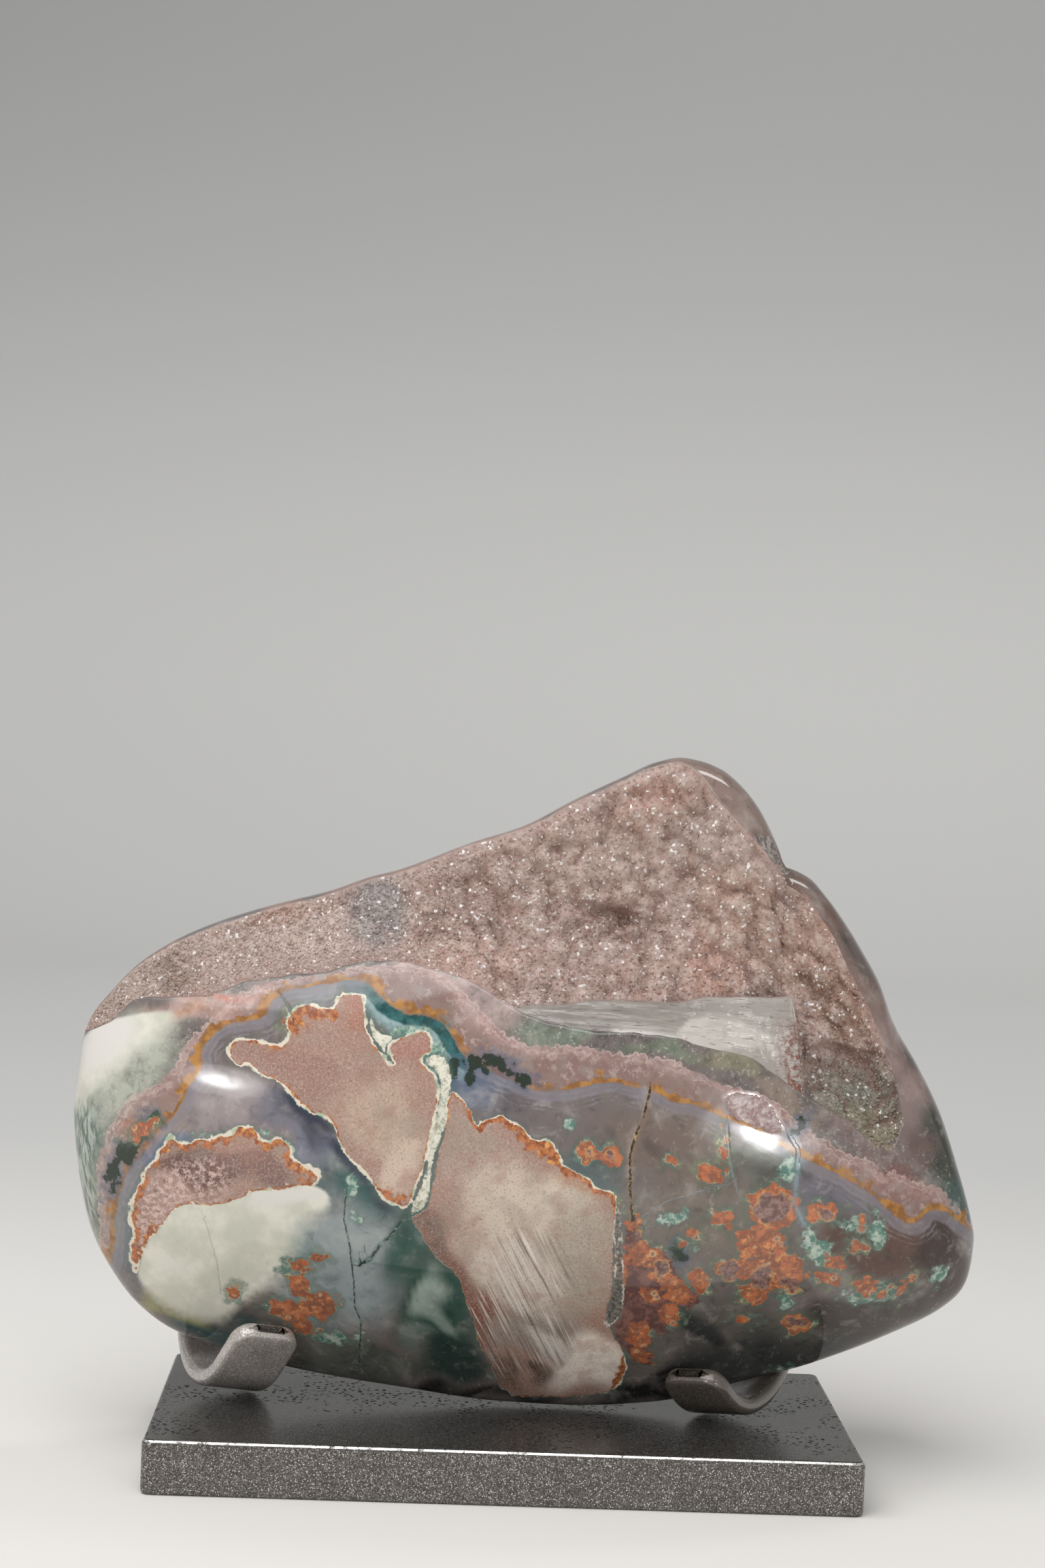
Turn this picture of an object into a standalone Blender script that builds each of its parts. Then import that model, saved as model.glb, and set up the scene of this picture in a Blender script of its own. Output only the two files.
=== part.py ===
"""A polished geode with a druse of small crystals, resting in the two steel cradles of its stand.

Outlines are in millimetres, measured from the middle of the plate's front edge: x along the plate,
y away from the viewer, z up from the ground. Everything is built in metres about ORIGIN.
"""
import bpy
import bmesh
import numpy as np
from mathutils import Vector

MM = 0.001
ORIGIN = (5.1, 65.0, 0.0)   # middle of the whole outline on the ground
GAP = 0.3                   # clear space left between pieces that touch

# The steel plate
PLATE_LONG = 250.0
PLATE_DEEP = 130.0
PLATE_THICK = 19.05
PLATE_CORNER = 3.5          # radius of the four upright corners
PLATE_EDGE = 1.6            # radius of the top and bottom edges

# The two cradles, bent from flat bar
BAR_WIDE = 25.4
BAR_THICK = 6.35
BAR_EDGE = 0.9              # radius of the bar's long edges
TIP_CORNER = 8.0            # radius of the corners at each end of the bar
# side: -1 left, 1 right. x, y: lowest point of the bar's middle. turn: heading away from straight ahead.
# lean: tilt across the bar. front/rear: slope of each arm, degrees. bend: radius. reach: straight length.
CRADLES = {
    "cradle_left": dict(side=-1, x=-101.2, y=68.2, turn=25.0, lean=10.0, front=51.0, front_bend=23.0,
                        front_reach=21.0, rear=61.0, rear_bend=28.0, rear_reach=42.0),
    "cradle_right": dict(side=1, x=81.7, y=55.7, turn=36.0, lean=8.0, front=46.0, front_bend=22.0,
                         front_reach=12.0, rear=37.0, rear_bend=35.0, rear_reach=30.0),
}

# The stone's outlines as (x, z), seen from the front
LEFT_END = (-160.0, 122.0)
RIGHT_END = (170.2, 87.0)
CREST_PEAK = [
    LEFT_END, (-159.3, 132.0), (-157.1, 150.3), (-154.1, 157.4), (-148.9, 164.4), (-138.9, 175.5),
    (-126.4, 184.3), (-110.5, 191.9), (-93.0, 198.0), (-69.3, 204.9), (-55.4, 210.3), (-46.3, 212.9),
    (-18.3, 224.4), (0.3, 231.1), (18.6, 241.4), (36.3, 250.5), (48.9, 256.6), (57.6, 258.5), (64.8, 257.5),
    (72.4, 254.8), (78.8, 250.1), (85.4, 242.8), (90.6, 234.2), (95.5, 222.5), (97.0, 217.0), (105.7, 196.2)]
CREST_SHOULDER = [
    (62.0, 212.0), (85.0, 221.7), (95.7, 220.2), (105.8, 216.3), (112.1, 209.9), (119.5, 200.3),
    (126.7, 189.2), (132.1, 179.9), (137.5, 166.0), (146.7, 150.8), (154.6, 136.1), (163.7, 111.4),
    (168.9, 94.1), RIGHT_END]
UNDERSIDE = [
    LEFT_END, (-159.2, 113.0), (-157.4, 99.5), (-152.0, 78.0), (-145.4, 65.4), (-133.9, 51.1),
    (-121.2, 42.4), (-110.5, 38.5), (-73.6, 29.3), (-37.3, 24.4), (-0.7, 20.5), (24.6, 20.0),
    (55.7, 22.4), (90.3, 32.0), (107.6, 37.0), (125.7, 43.9), (143.2, 51.9), (159.1, 60.8),
    (167.5, 69.8), RIGHT_END]
WAIST = [LEFT_END, (-120.0, 116.0), (-60.0, 111.0), (20.0, 106.0), (90.0, 98.0), (140.0, 91.0), RIGHT_END]

# The open face: its lower edge, the ledge, as (x, z) on the skin
LEDGE = [
    (-157.0, 150.5), (-147.0, 156.0), (-136.0, 164.5), (-112.0, 168.0), (-98.0, 173.0), (-74.0, 177.5),
    (-50.0, 183.0), (-30.5, 181.0), (-16.0, 177.0), (1.0, 167.0), (20.0, 163.0), (47.0, 161.5),
    (68.5, 157.5), (81.0, 155.0), (93.0, 147.0), (106.0, 138.5), (118.5, 132.5), (128.5, 124.0),
    (134.0, 122.0), (138.5, 131.0)]
# Its upper edge, the rim, as (x, degrees round the slice from the crest)
RIM = [
    (-157.0, 7.0), (-137.0, 7.0), (-125.0, 9.0), (-92.0, 8.5), (-46.0, 7.0), (0.0, 6.4), (48.0, 6.4),
    (57.0, 8.5), (64.0, 15.5), (71.0, 24.0), (80.0, 27.0), (88.5, 26.5), (95.7, 19.0), (102.0, 20.0),
    (107.0, 25.0), (113.0, 27.5), (118.0, 33.0), (126.0, 37.0), (131.0, 43.5), (135.0, 46.0),
    (137.5, 50.0), (138.5, 58.0)]
FACE_LEFT = -157.0          # where the open face begins and ends along x
FACE_RIGHT = 138.5
FACE_SAG = 0.17             # hollow of the open face, as a share of its width
FACE_SAG_LEAN = 0.8         # below 1 the deepest line lies nearer the ledge
FACE_LEAST = 0.05           # least angle kept between rim and ledge

# The slice across the stone
MIDDLE_Y = 65.0             # line of the keel at x = 0
SWING = -0.02               # how far that line swings towards the viewer per millimetre of x
FRONT_HALF = 49.0
BACK_HALF = 60.0
LEAN = 0.14                 # backward lean of the upper half
LEAN_SOFT = 30.0
ROUND_HIGH = 2.15           # 2 is an ellipse, 1 a wedge
ROUND_BELOW_WAIST = 1.65
# How the lower half closes to its keel at x: 2 is round, 1 a wedge
KEEL_FRONT = [(-160.0, 1.8), (-128.0, 1.35), (-100.0, 1.02), (90.0, 1.02), (125.0, 1.4), (170.0, 1.8)]
KEEL_BACK = [(-160.0, 1.9), (-100.0, 1.85), (0.0, 1.5), (90.0, 0.98), (125.0, 1.3), (170.0, 1.8)]
KEEL_RADIUS = 4.0
KEEL_BLEND = 3.0            # how sharply the rounded keel gives way to the wedge's sides
END_POWER = 0.85            # roundness of the two ends seen from above

# The calcite blade that stands on the ledge
BLADE_TOP = [
    (-3.0, 168.5), (1.0, 169.6), (13.0, 170.6), (32.0, 172.7), (56.0, 172.8), (66.0, 174.9),
    (96.5, 175.3), (98.5, 167.0), (100.5, 147.5)]
BLADE_DEEP = 16.0
BLADE_ROOT = 10.0           # how far its foot reaches into the stone
BLADE_INSET = 0.4           # its foot starts this far behind the skin
BLADE_LEAST = 0.5           # least height of its front
BLADE_BACK_DROP = 1.0       # its top falls this much towards the back

SLICES = 58
SKIN_STEPS = 34
FACE_STEPS = 10
BLADE_STEPS = 14
BAR_ARC_STEPS = 10
TIP_STEPS = 4


def place(x, y, z):
    """A point in metres about the origin."""
    return Vector(((x - ORIGIN[0]) * MM, (y - ORIGIN[1]) * MM, (z - ORIGIN[2]) * MM))


def smooth_curve(points, at):
    """The value at each place in at, on a smooth curve through the points that never overshoots."""
    places = np.array([point[0] for point in points], float)
    values = np.array([point[1] for point in points], float)
    gaps = np.diff(places)
    rises = np.diff(values) / gaps
    slopes = np.zeros_like(values)
    slopes[0] = rises[0]
    slopes[-1] = rises[-1]
    steady = rises[:-1] * rises[1:] > 0
    near = (2 * gaps[1:] + gaps[:-1])[steady]
    far = (gaps[1:] + 2 * gaps[:-1])[steady]
    inner = np.zeros(len(rises) - 1)
    inner[steady] = (near + far) / (near / rises[:-1][steady] + far / rises[1:][steady])
    slopes[1:-1] = inner
    at = np.clip(at, places[0], places[-1])
    index = np.clip(np.searchsorted(places, at) - 1, 0, len(places) - 2)
    gap = gaps[index]
    t = (at - places[index]) / gap
    start = (1 + 2 * t) * (1 - t) ** 2 * values[index] + t * (1 - t) ** 2 * gap * slopes[index]
    end = t * t * (3 - 2 * t) * values[index + 1] + t * t * (t - 1) * gap * slopes[index + 1]
    return start + end


def turn(x):
    """The angle along the stone, 0 at its left end and pi at its right."""
    middle = (LEFT_END[0] + RIGHT_END[0]) / 2
    half = (RIGHT_END[0] - LEFT_END[0]) / 2
    return np.arccos(np.clip((middle - np.asarray(x, float)) / half, -1, 1))


def outline(points, x):
    """Height of an outline at x, with the round ends of the stone kept round."""
    return smooth_curve([(float(turn(point[0])), point[1]) for point in points], turn(x))


def crest(x):
    """Height of the top outline: the peak and the shoulder to the right of it, with a notch between."""
    peak = outline(CREST_PEAK, np.minimum(x, CREST_PEAK[-1][0]))
    shoulder = outline(CREST_SHOULDER, np.maximum(x, CREST_SHOULDER[0][0]))
    peak = np.where(x > CREST_PEAK[-1][0], 0.0, peak)
    shoulder = np.where(x < CREST_SHOULDER[0][0], 0.0, shoulder)
    return np.maximum(peak, shoulder)


def skin(x, angle):
    """Points of the polished skin. The angle runs round the slice, from the crest down the front."""
    x = np.asarray(x, float)
    high = crest(x)
    low = outline(UNDERSIDE, x)
    waist = outline(WAIST, x)
    swell = np.sin(turn(x)) ** END_POWER
    ahead = np.sin(angle)
    up = np.cos(angle)
    out = np.abs(ahead)
    half_deep = np.where(ahead > 0, FRONT_HALF, BACK_HALF) * swell
    upper_z = (high - waist) * np.abs(up) ** (2 / ROUND_HIGH)
    upper_out = out ** (2 / ROUND_HIGH)
    keel = np.where(ahead > 0, smooth_curve(KEEL_FRONT, x), smooth_curve(KEEL_BACK, x))
    lower_z = (low - waist) * np.abs(up) ** (2 / ROUND_BELOW_WAIST)
    round_off = np.sqrt(2 / ROUND_BELOW_WAIST * KEEL_RADIUS * np.maximum(waist - low, 0))
    round_off = out * up ** 2 * round_off / np.maximum(half_deep, KEEL_RADIUS)
    lower_out = (out ** (2 / keel * KEEL_BLEND) + round_off ** KEEL_BLEND) ** (1 / KEEL_BLEND)
    above = np.where(up > 0, upper_z, 0.0)
    lean = LEAN * swell * above ** 2 / (above + LEAN_SOFT)
    z = waist + np.where(up > 0, upper_z, lower_z)
    reach = half_deep * np.sign(ahead) * np.where(up > 0, upper_out, lower_out)
    y = MIDDLE_Y + SWING * x - reach + lean
    return np.stack([x + 0 * z, y, z], -1)


def angle_at(x, z):
    """The angle round the slice at which the front of the skin has this height."""
    waist = outline(WAIST, x)
    share = np.clip((z - waist) / (crest(x) - waist), 0, 1)
    return np.arccos(share ** (ROUND_HIGH / 2))


def slice_places():
    """Places of the slices along x, close together at the ends, with one at each end of the open face."""
    middle = (LEFT_END[0] + RIGHT_END[0]) / 2
    half = (RIGHT_END[0] - LEFT_END[0]) / 2
    places = middle - half * np.cos(np.linspace(0, np.pi, SLICES + 2)[1:-1])
    for wanted in (FACE_LEFT, FACE_RIGHT):
        places[np.argmin(np.abs(places - wanted))] = wanted
    return places


def slice_loop(x):
    """One closed loop round the stone at x: the skin, then the open face from the rim to the ledge."""
    inside = float(np.clip(x, FACE_LEFT, FACE_RIGHT))
    ledge = float(angle_at(inside, outline(LEDGE, inside)))
    rim = np.radians(float(smooth_curve(RIM, inside)))
    rim = min(rim, ledge - FACE_LEAST)
    loop = list(skin(x, np.linspace(ledge, 2 * np.pi + rim, SKIN_STEPS)))
    if x <= FACE_LEFT or x >= FACE_RIGHT:
        steps = np.linspace(rim, ledge, FACE_STEPS + 2)[1:-1]
        return loop + list(skin(x, steps))
    low = loop[0]
    high = loop[-1]
    chord = high - low
    wide = np.hypot(chord[1], chord[2])
    inward = np.array([0.0, chord[2], -chord[1]]) / wide
    for share in np.linspace(1, 0, FACE_STEPS + 2)[1:-1]:
        sag = FACE_SAG * wide * np.sin(np.pi * share ** FACE_SAG_LEAN)
        loop.append(low + chord * share + inward * sag)
    return loop


def bridge(mesh, loops):
    """Join a row of equal closed loops with quads."""
    count = len(loops[0])
    for left, right in zip(loops, loops[1:]):
        for i in range(count):
            j = (i + 1) % count
            mesh.faces.new((left[i], left[j], right[j], right[i]))


def close_to_points(mesh, loops, first_end, last_end):
    """Close each end of a row of loops with a fan to a point."""
    count = len(loops[0])
    for i in range(count):
        j = (i + 1) % count
        mesh.faces.new((first_end, loops[0][j], loops[0][i]))
        mesh.faces.new((last_end, loops[-1][i], loops[-1][j]))


def make_object(name, mesh, material, sharp_degrees=35.0):
    """Turn a bmesh into an object with outward normals, smooth shading and its material."""
    bmesh.ops.recalc_face_normals(mesh, faces=mesh.faces)
    data = bpy.data.meshes.new(name)
    mesh.to_mesh(data)
    mesh.free()
    data.shade_smooth()
    data.set_sharp_from_angle(angle=np.radians(sharp_degrees))
    data.materials.append(material)
    item = bpy.data.objects.new(name, data)
    bpy.context.scene.collection.objects.link(item)
    return item


def make_material(name, colour, roughness, metallic=0.0):
    """A plain Principled material."""
    material = bpy.data.materials.new(name)
    material.use_nodes = True
    shader = material.node_tree.nodes["Principled BSDF"]
    shader.inputs["Base Color"].default_value = (*colour, 1.0)
    shader.inputs["Roughness"].default_value = roughness
    shader.inputs["Metallic"].default_value = metallic
    return material


def make_blade_cutter():
    """The blade's own solid: its front follows the skin, its foot is sunk into the stone."""
    mesh = bmesh.new()
    loops = []
    for x in np.linspace(BLADE_TOP[0][0], BLADE_TOP[-1][0], BLADE_STEPS):
        top_z = float(smooth_curve(BLADE_TOP, x))
        ledge_z = float(outline(LEDGE, x))
        top = skin(x, angle_at(x, max(top_z, ledge_z + BLADE_LEAST)))
        foot = skin(x, angle_at(x, ledge_z))
        back_y = top[1] + BLADE_DEEP
        root_z = ledge_z - BLADE_ROOT
        ring = [
            (x, top[1], top[2]),
            (x, foot[1] + BLADE_INSET, foot[2]),
            (x, foot[1] + BLADE_ROOT, root_z),
            (x, back_y, root_z),
            (x, back_y, top[2] - BLADE_BACK_DROP)]
        loops.append([mesh.verts.new(place(*point)) for point in ring])
    bridge(mesh, loops)
    mesh.faces.new(loops[0])
    mesh.faces.new(loops[-1][::-1])
    blade = make_object("blade_shape", mesh, make_material("calcite", (0.80, 0.79, 0.75), 0.25))
    blade.hide_render = True
    blade.display_type = "WIRE"
    return blade


def make_stone():
    """The whole stone as one solid, its calcite blade grown into it."""
    mesh = bmesh.new()
    loops = []
    for x in slice_places():
        loops.append([mesh.verts.new(place(*point)) for point in slice_loop(x)])
    left_tip = mesh.verts.new(place(*skin(LEFT_END[0], np.pi / 2)))
    right_tip = mesh.verts.new(place(*skin(RIGHT_END[0], np.pi / 2)))
    bridge(mesh, loops)
    close_to_points(mesh, loops, left_tip, right_tip)
    stone = make_object("stone", mesh, make_material("agate", (0.36, 0.30, 0.29), 0.2))
    union = stone.modifiers.new("blade", "BOOLEAN")
    union.operation = "UNION"
    union.solver = "EXACT"
    union.object = make_blade_cutter()
    return stone


def bar_path(cradle):
    """The bar's middle line, from front tip to rear tip: (ahead, height, slope, distance from the tip)."""
    front = np.radians(cradle["front"])
    rear = np.radians(cradle["rear"])
    points = []

    def straight_arm(ahead, height, slope, length, outward, insets):
        """Points from the tip inwards along one straight arm, at these distances from the tip."""
        rows = []
        for inset in insets:
            along = length - inset
            far = ahead + outward * np.cos(slope) * along
            rows.append((far, height + np.sin(slope) * along, outward * slope, inset))
        return rows

    insets = [TIP_CORNER * (1 - np.cos(a)) for a in np.linspace(0, np.pi / 2, TIP_STEPS + 1)]
    bend = cradle["front_bend"]
    start_ahead = bend * np.sin(front)
    start_height = bend * (1 - np.cos(front))
    points += straight_arm(start_ahead, start_height, front, cradle["front_reach"], 1, insets)
    for angle in np.linspace(front, 0, BAR_ARC_STEPS + 1):
        points.append((bend * np.sin(angle), bend * (1 - np.cos(angle)), angle, TIP_CORNER))
    bend = cradle["rear_bend"]
    for angle in np.linspace(0, rear, BAR_ARC_STEPS + 1)[1:]:
        points.append((-bend * np.sin(angle), bend * (1 - np.cos(angle)), -angle, TIP_CORNER))
    end_ahead = -bend * np.sin(rear)
    end_height = bend * (1 - np.cos(rear))
    points += straight_arm(end_ahead, end_height, rear, cradle["rear_reach"], -1, insets)[::-1]
    return points


def make_cradle(name, cradle, material):
    """One cradle: a flat bar bent up at both ends, its tips rounded, tilted to follow the stone."""
    side = cradle["side"]
    heading = np.radians(cradle["turn"]) * side
    tilt = np.radians(cradle["lean"]) * side
    ahead = Vector((-np.sin(heading), -np.cos(heading), 0.0))
    level = Vector((np.cos(heading), -np.sin(heading), 0.0))
    upright = Vector((0.0, 0.0, 1.0))
    across = level * np.cos(tilt) + upright * np.sin(tilt)
    up = upright * np.cos(tilt) - level * np.sin(tilt)
    rise = PLATE_THICK + GAP + BAR_WIDE / 2 * abs(np.sin(tilt)) + BAR_THICK / 2
    low_point = Vector((cradle["x"], cradle["y"], rise))
    mesh = bmesh.new()
    loops = []
    for forward, height, slope, inset in bar_path(cradle):
        middle = low_point + ahead * forward + up * height
        outer = ahead * np.sin(slope) - up * np.cos(slope)
        short = max(TIP_CORNER - inset, 0.0)
        half_wide = BAR_WIDE / 2 - TIP_CORNER + np.sqrt(TIP_CORNER ** 2 - short ** 2)
        ring = []
        for wide, thick in ((-1, 1), (1, 1), (1, -1), (-1, -1)):
            corner = middle + across * (wide * half_wide) + outer * (thick * BAR_THICK / 2)
            ring.append(mesh.verts.new(place(*corner)))
        loops.append(ring)
    bridge(mesh, loops)
    mesh.faces.new(loops[0])
    mesh.faces.new(loops[-1][::-1])
    bar = make_object(name, mesh, material, 30.0)
    add_bevel(bar, BAR_EDGE * MM, 2, 40.0)
    return bar


def add_bevel(item, width, segments, above_degrees):
    """Round the edges sharper than an angle."""
    bevel = item.modifiers.new("edges", "BEVEL")
    bevel.width = width
    bevel.segments = segments
    bevel.limit_method = "ANGLE"
    bevel.angle_limit = np.radians(above_degrees)


def make_plate(material):
    """The heavy base plate, its upright corners and its edges rounded."""
    mesh = bmesh.new()
    bmesh.ops.create_cube(mesh, size=1.0)
    centre = place(0.0, PLATE_DEEP / 2, PLATE_THICK / 2)
    for vert in mesh.verts:
        vert.co.x = centre.x + vert.co.x * PLATE_LONG * MM
        vert.co.y = centre.y + vert.co.y * PLATE_DEEP * MM
        vert.co.z = centre.z + vert.co.z * PLATE_THICK * MM
    uprights = [edge for edge in mesh.edges if abs(edge.verts[0].co.z - edge.verts[1].co.z) > MM]
    bmesh.ops.bevel(
        mesh, geom=uprights, offset=PLATE_CORNER * MM, segments=4, profile=0.5, affect="EDGES")
    plate = make_object("base_plate", mesh, material, 30.0)
    add_bevel(plate, PLATE_EDGE * MM, 3, 60.0)
    return plate


for item in list(bpy.data.objects):
    bpy.data.objects.remove(item)

make_stone()
make_plate(make_material("plate_steel", (0.10, 0.10, 0.10), 0.45, 0.6))
for name, cradle in CRADLES.items():
    make_cradle(name, cradle, make_material(name + "_steel", (0.09, 0.08, 0.08), 0.45, 0.7))
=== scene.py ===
"""Looks of a polished geode with a sparkling druse, resting in the steel cradles of its stand.

The stone and both cradles are made again here at a finer step, from the outlines and sizes of the
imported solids, in millimetres from the middle of the plate's front edge. The back and root of the
calcite blade and the edges of the bars differ a little from the solids. The markings on the stone's
front are outlined in pixels of the 1536 by 2304 picture, and thrown on to it by the camera.
"""
import math

import bmesh
import bpy
import numpy as np
from mathutils import Matrix, Vector


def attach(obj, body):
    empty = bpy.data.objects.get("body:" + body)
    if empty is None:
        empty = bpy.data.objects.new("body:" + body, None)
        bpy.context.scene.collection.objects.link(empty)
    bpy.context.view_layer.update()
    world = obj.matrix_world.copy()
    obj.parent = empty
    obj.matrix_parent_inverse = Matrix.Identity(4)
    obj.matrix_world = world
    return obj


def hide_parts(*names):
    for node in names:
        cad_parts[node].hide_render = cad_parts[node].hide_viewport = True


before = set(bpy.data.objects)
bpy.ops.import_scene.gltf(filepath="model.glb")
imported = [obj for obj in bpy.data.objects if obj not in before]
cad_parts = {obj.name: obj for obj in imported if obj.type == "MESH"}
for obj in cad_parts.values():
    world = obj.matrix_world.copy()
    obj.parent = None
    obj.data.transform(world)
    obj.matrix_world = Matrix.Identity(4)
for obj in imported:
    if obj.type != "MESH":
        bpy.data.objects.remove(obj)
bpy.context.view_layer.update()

MM = 0.001
ORIGIN = np.array((5.1, 65.0, 0.0))     # the frame's origin, in the outlines' millimetres
RANDOM = np.random.default_rng(7)

# The stone's outlines as (x, z), seen from the front
LEFT_END = (-160.0, 122.0)
RIGHT_END = (170.2, 87.0)
CREST_PEAK = [
    LEFT_END, (-159.3, 132.0), (-157.1, 150.3), (-154.1, 157.4), (-148.9, 164.4), (-138.9, 175.5),
    (-126.4, 184.3), (-110.5, 191.9), (-93.0, 198.0), (-69.3, 204.9), (-55.4, 210.3), (-46.3, 212.9),
    (-18.3, 224.4), (0.3, 231.1), (18.6, 241.4), (36.3, 250.5), (48.9, 256.6), (57.6, 258.5),
    (64.8, 257.5), (72.4, 254.8), (78.8, 250.1), (85.4, 242.8), (90.6, 234.2), (95.5, 222.5),
    (97.0, 217.0), (105.7, 196.2)]
CREST_SHOULDER = [
    (62.0, 212.0), (85.0, 221.7), (95.7, 220.2), (105.8, 216.3), (112.1, 209.9), (119.5, 200.3),
    (126.7, 189.2), (132.1, 179.9), (137.5, 166.0), (146.7, 150.8), (154.6, 136.1), (163.7, 111.4),
    (168.9, 94.1), RIGHT_END]
UNDERSIDE = [
    LEFT_END, (-159.2, 113.0), (-157.4, 99.5), (-152.0, 78.0), (-145.4, 65.4), (-133.9, 51.1),
    (-121.2, 42.4), (-110.5, 38.5), (-73.6, 29.3), (-37.3, 24.4), (-0.7, 20.5), (24.6, 20.0),
    (55.7, 22.4), (90.3, 32.0), (107.6, 37.0), (125.7, 43.9), (143.2, 51.9), (159.1, 60.8),
    (167.5, 69.8), RIGHT_END]
# The widest height of each slice, and the edge below the open face
WAIST = [LEFT_END, (-120.0, 116.0), (-60.0, 111.0), (20.0, 106.0), (90.0, 98.0), (140.0, 91.0), RIGHT_END]
LEDGE = [
    (-157.0, 150.5), (-147.0, 156.0), (-136.0, 164.5), (-112.0, 168.0), (-98.0, 173.0), (-74.0, 177.5),
    (-50.0, 183.0), (-30.5, 181.0), (-16.0, 177.0), (1.0, 167.0), (20.0, 163.0), (47.0, 161.5),
    (68.5, 157.5), (81.0, 155.0), (93.0, 147.0), (106.0, 138.5), (118.5, 132.5), (128.5, 124.0),
    (134.0, 122.0), (138.5, 131.0)]
# The open face's upper edge, as (x, degrees from the crest)
RIM = [
    (-157.0, 7.0), (-137.0, 7.0), (-125.0, 9.0), (-92.0, 8.5), (-46.0, 7.0), (0.0, 6.4), (48.0, 6.4),
    (57.0, 8.5), (64.0, 15.5), (71.0, 24.0), (80.0, 27.0), (88.5, 26.5), (95.7, 19.0), (102.0, 20.0),
    (107.0, 25.0), (113.0, 27.5), (118.0, 33.0), (126.0, 37.0), (131.0, 43.5), (135.0, 46.0),
    (137.5, 50.0), (138.5, 58.0)]
# The open face: its ends, how far it sags and how near its top, and the least angle it takes up
FACE_LEFT = -157.0
FACE_RIGHT = 138.5
FACE_SAG = 0.17
FACE_SAG_LEAN = 0.8
FACE_LEAST = 0.05
# The depth: its middle and how that shifts along x, the half depths, and the backward lean of the top
MIDDLE_Y = 65.0
SWING = -0.02
FRONT_HALF = 49.0
BACK_HALF = 60.0
LEAN = 0.14
LEAN_SOFT = 30.0
# How square the slices are above and below the waist, and how sharp their keel is along x
ROUND_HIGH = 2.15
ROUND_BELOW_WAIST = 1.65
KEEL_FRONT = [(-160.0, 1.8), (-128.0, 1.35), (-100.0, 1.02), (90.0, 1.02), (125.0, 1.4), (170.0, 1.8)]
KEEL_BACK = [(-160.0, 1.9), (-100.0, 1.85), (0.0, 1.5), (90.0, 0.98), (125.0, 1.3), (170.0, 1.8)]
KEEL_RADIUS = 4.0
KEEL_BLEND = 3.0
END_POWER = 0.85
# The calcite blade: its top outline, its depth and how far its root goes into the ledge
BLADE_TOP = [
    (-3.0, 168.5), (1.0, 169.6), (13.0, 170.6), (32.0, 172.7), (56.0, 172.8), (66.0, 174.9),
    (96.5, 175.3), (98.5, 167.0), (100.5, 147.5)]
BLADE_DEEP = 16.0
BLADE_ROOT = 6.0
# How far the body's own skin lies behind the druse, and how deep its chip and its broken notch are
BODY_FACE_SINK = 9.0
CHIP_DEEP = 0.15
NOTCH_DEEP = 1.6

# The two cradles, bent from flat bar. Angles are in degrees; front and rear are the slopes of the arms.
PLATE_THICK = 19.05
GAP = 0.3
BAR_WIDE = 25.4
BAR_THICK = 6.35
BAR_EDGE = 2.4
TIP_CORNER = 8.0
CRADLES = {
    "cradle_left": dict(side=-1, x=-101.2, y=68.2, turn=25.0, lean=10.0, front=51.0, front_bend=23.0,
                        front_reach=21.0, rear=61.0, rear_bend=28.0, rear_reach=42.0),
    "cradle_right": dict(side=1, x=81.7, y=55.7, turn=36.0, lean=8.0, front=46.0, front_bend=22.0,
                         front_reach=12.0, rear=37.0, rear_bend=35.0, rear_reach=30.0),
}

# The camera
PICTURE_WIDE = 1536.0
PICTURE_HIGH = 2304.0
LENS = 65.0
SENSOR = 36.0
CAMERA_PLACE = np.array((-33.353, -965.181, 278.171))
CAMERA_YAW = 0.0310
CAMERA_PITCH = 0.0304
CAMERA_ROLL = 0.0406
PIXELS_PER_MM = 3.98        # at the front of the stone

# Steps of the fine meshes
BODY_SLICES = 226
BODY_STEPS = 384
BODY_FACE_STEPS = 20
DENSE_STEPS = 900
DRUSE_STEP = 0.52
CRYSTAL_SPACING = 3         # steps of the druse's sheet for each crystal
CRYSTAL_SIDES = 6
CRYSTAL_CORNERS = 2 * CRYSTAL_SIDES + 1
BLADE_SLICES = 150
BLADE_LEVELS = 12
BAR_ARC_STEPS = 40
TIP_STEPS = 14
EDGE_STEPS = 8

# Outlines of the markings on the front, in pixels of the picture. The first two close below the stone.
ORANGE_LINE = [
    (60, 1990), (150, 1900), (166, 1840), (168, 1790), (176, 1745), (200, 1700), (240, 1650), (262, 1632),
    (274, 1600), (296, 1575), (293, 1550), (305, 1524), (340, 1500), (393, 1496), (400, 1460), (450, 1449),
    (530, 1438), (552, 1447), (562, 1467), (592, 1489), (622, 1487), (652, 1501), (670, 1530), (690, 1560),
    (735, 1577), (775, 1597), (820, 1605), (860, 1594), (905, 1586), (930, 1597), (960, 1601), (985, 1616),
    (1020, 1622), (1085, 1648), (1165, 1690), (1200, 1712), (1230, 1722), (1262, 1741), (1292, 1762),
    (1322, 1790), (1337, 1797), (1350, 1796), (1362, 1778), (1382, 1775), (1402, 1785), (1428, 1810),
    (1500, 1850), (1500, 2300), (60, 2300)]
PINK_EDGE = [
    (60, 1990), (140, 1880), (148, 1800), (140, 1740), (148, 1690), (163, 1650), (200, 1603), (235, 1592),
    (262, 1560), (275, 1530), (320, 1490), (352, 1455), (430, 1436), (560, 1412), (640, 1425), (690, 1462),
    (735, 1520), (790, 1540), (850, 1535), (900, 1548), (960, 1550), (1020, 1572), (1060, 1592),
    (1130, 1610), (1190, 1664), (1216, 1674), (1242, 1698), (1282, 1704), (1296, 1728), (1312, 1720),
    (1332, 1730), (1357, 1740), (1382, 1742), (1400, 1770), (1428, 1800), (1500, 1840), (1500, 2300),
    (60, 2300)]
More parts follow.
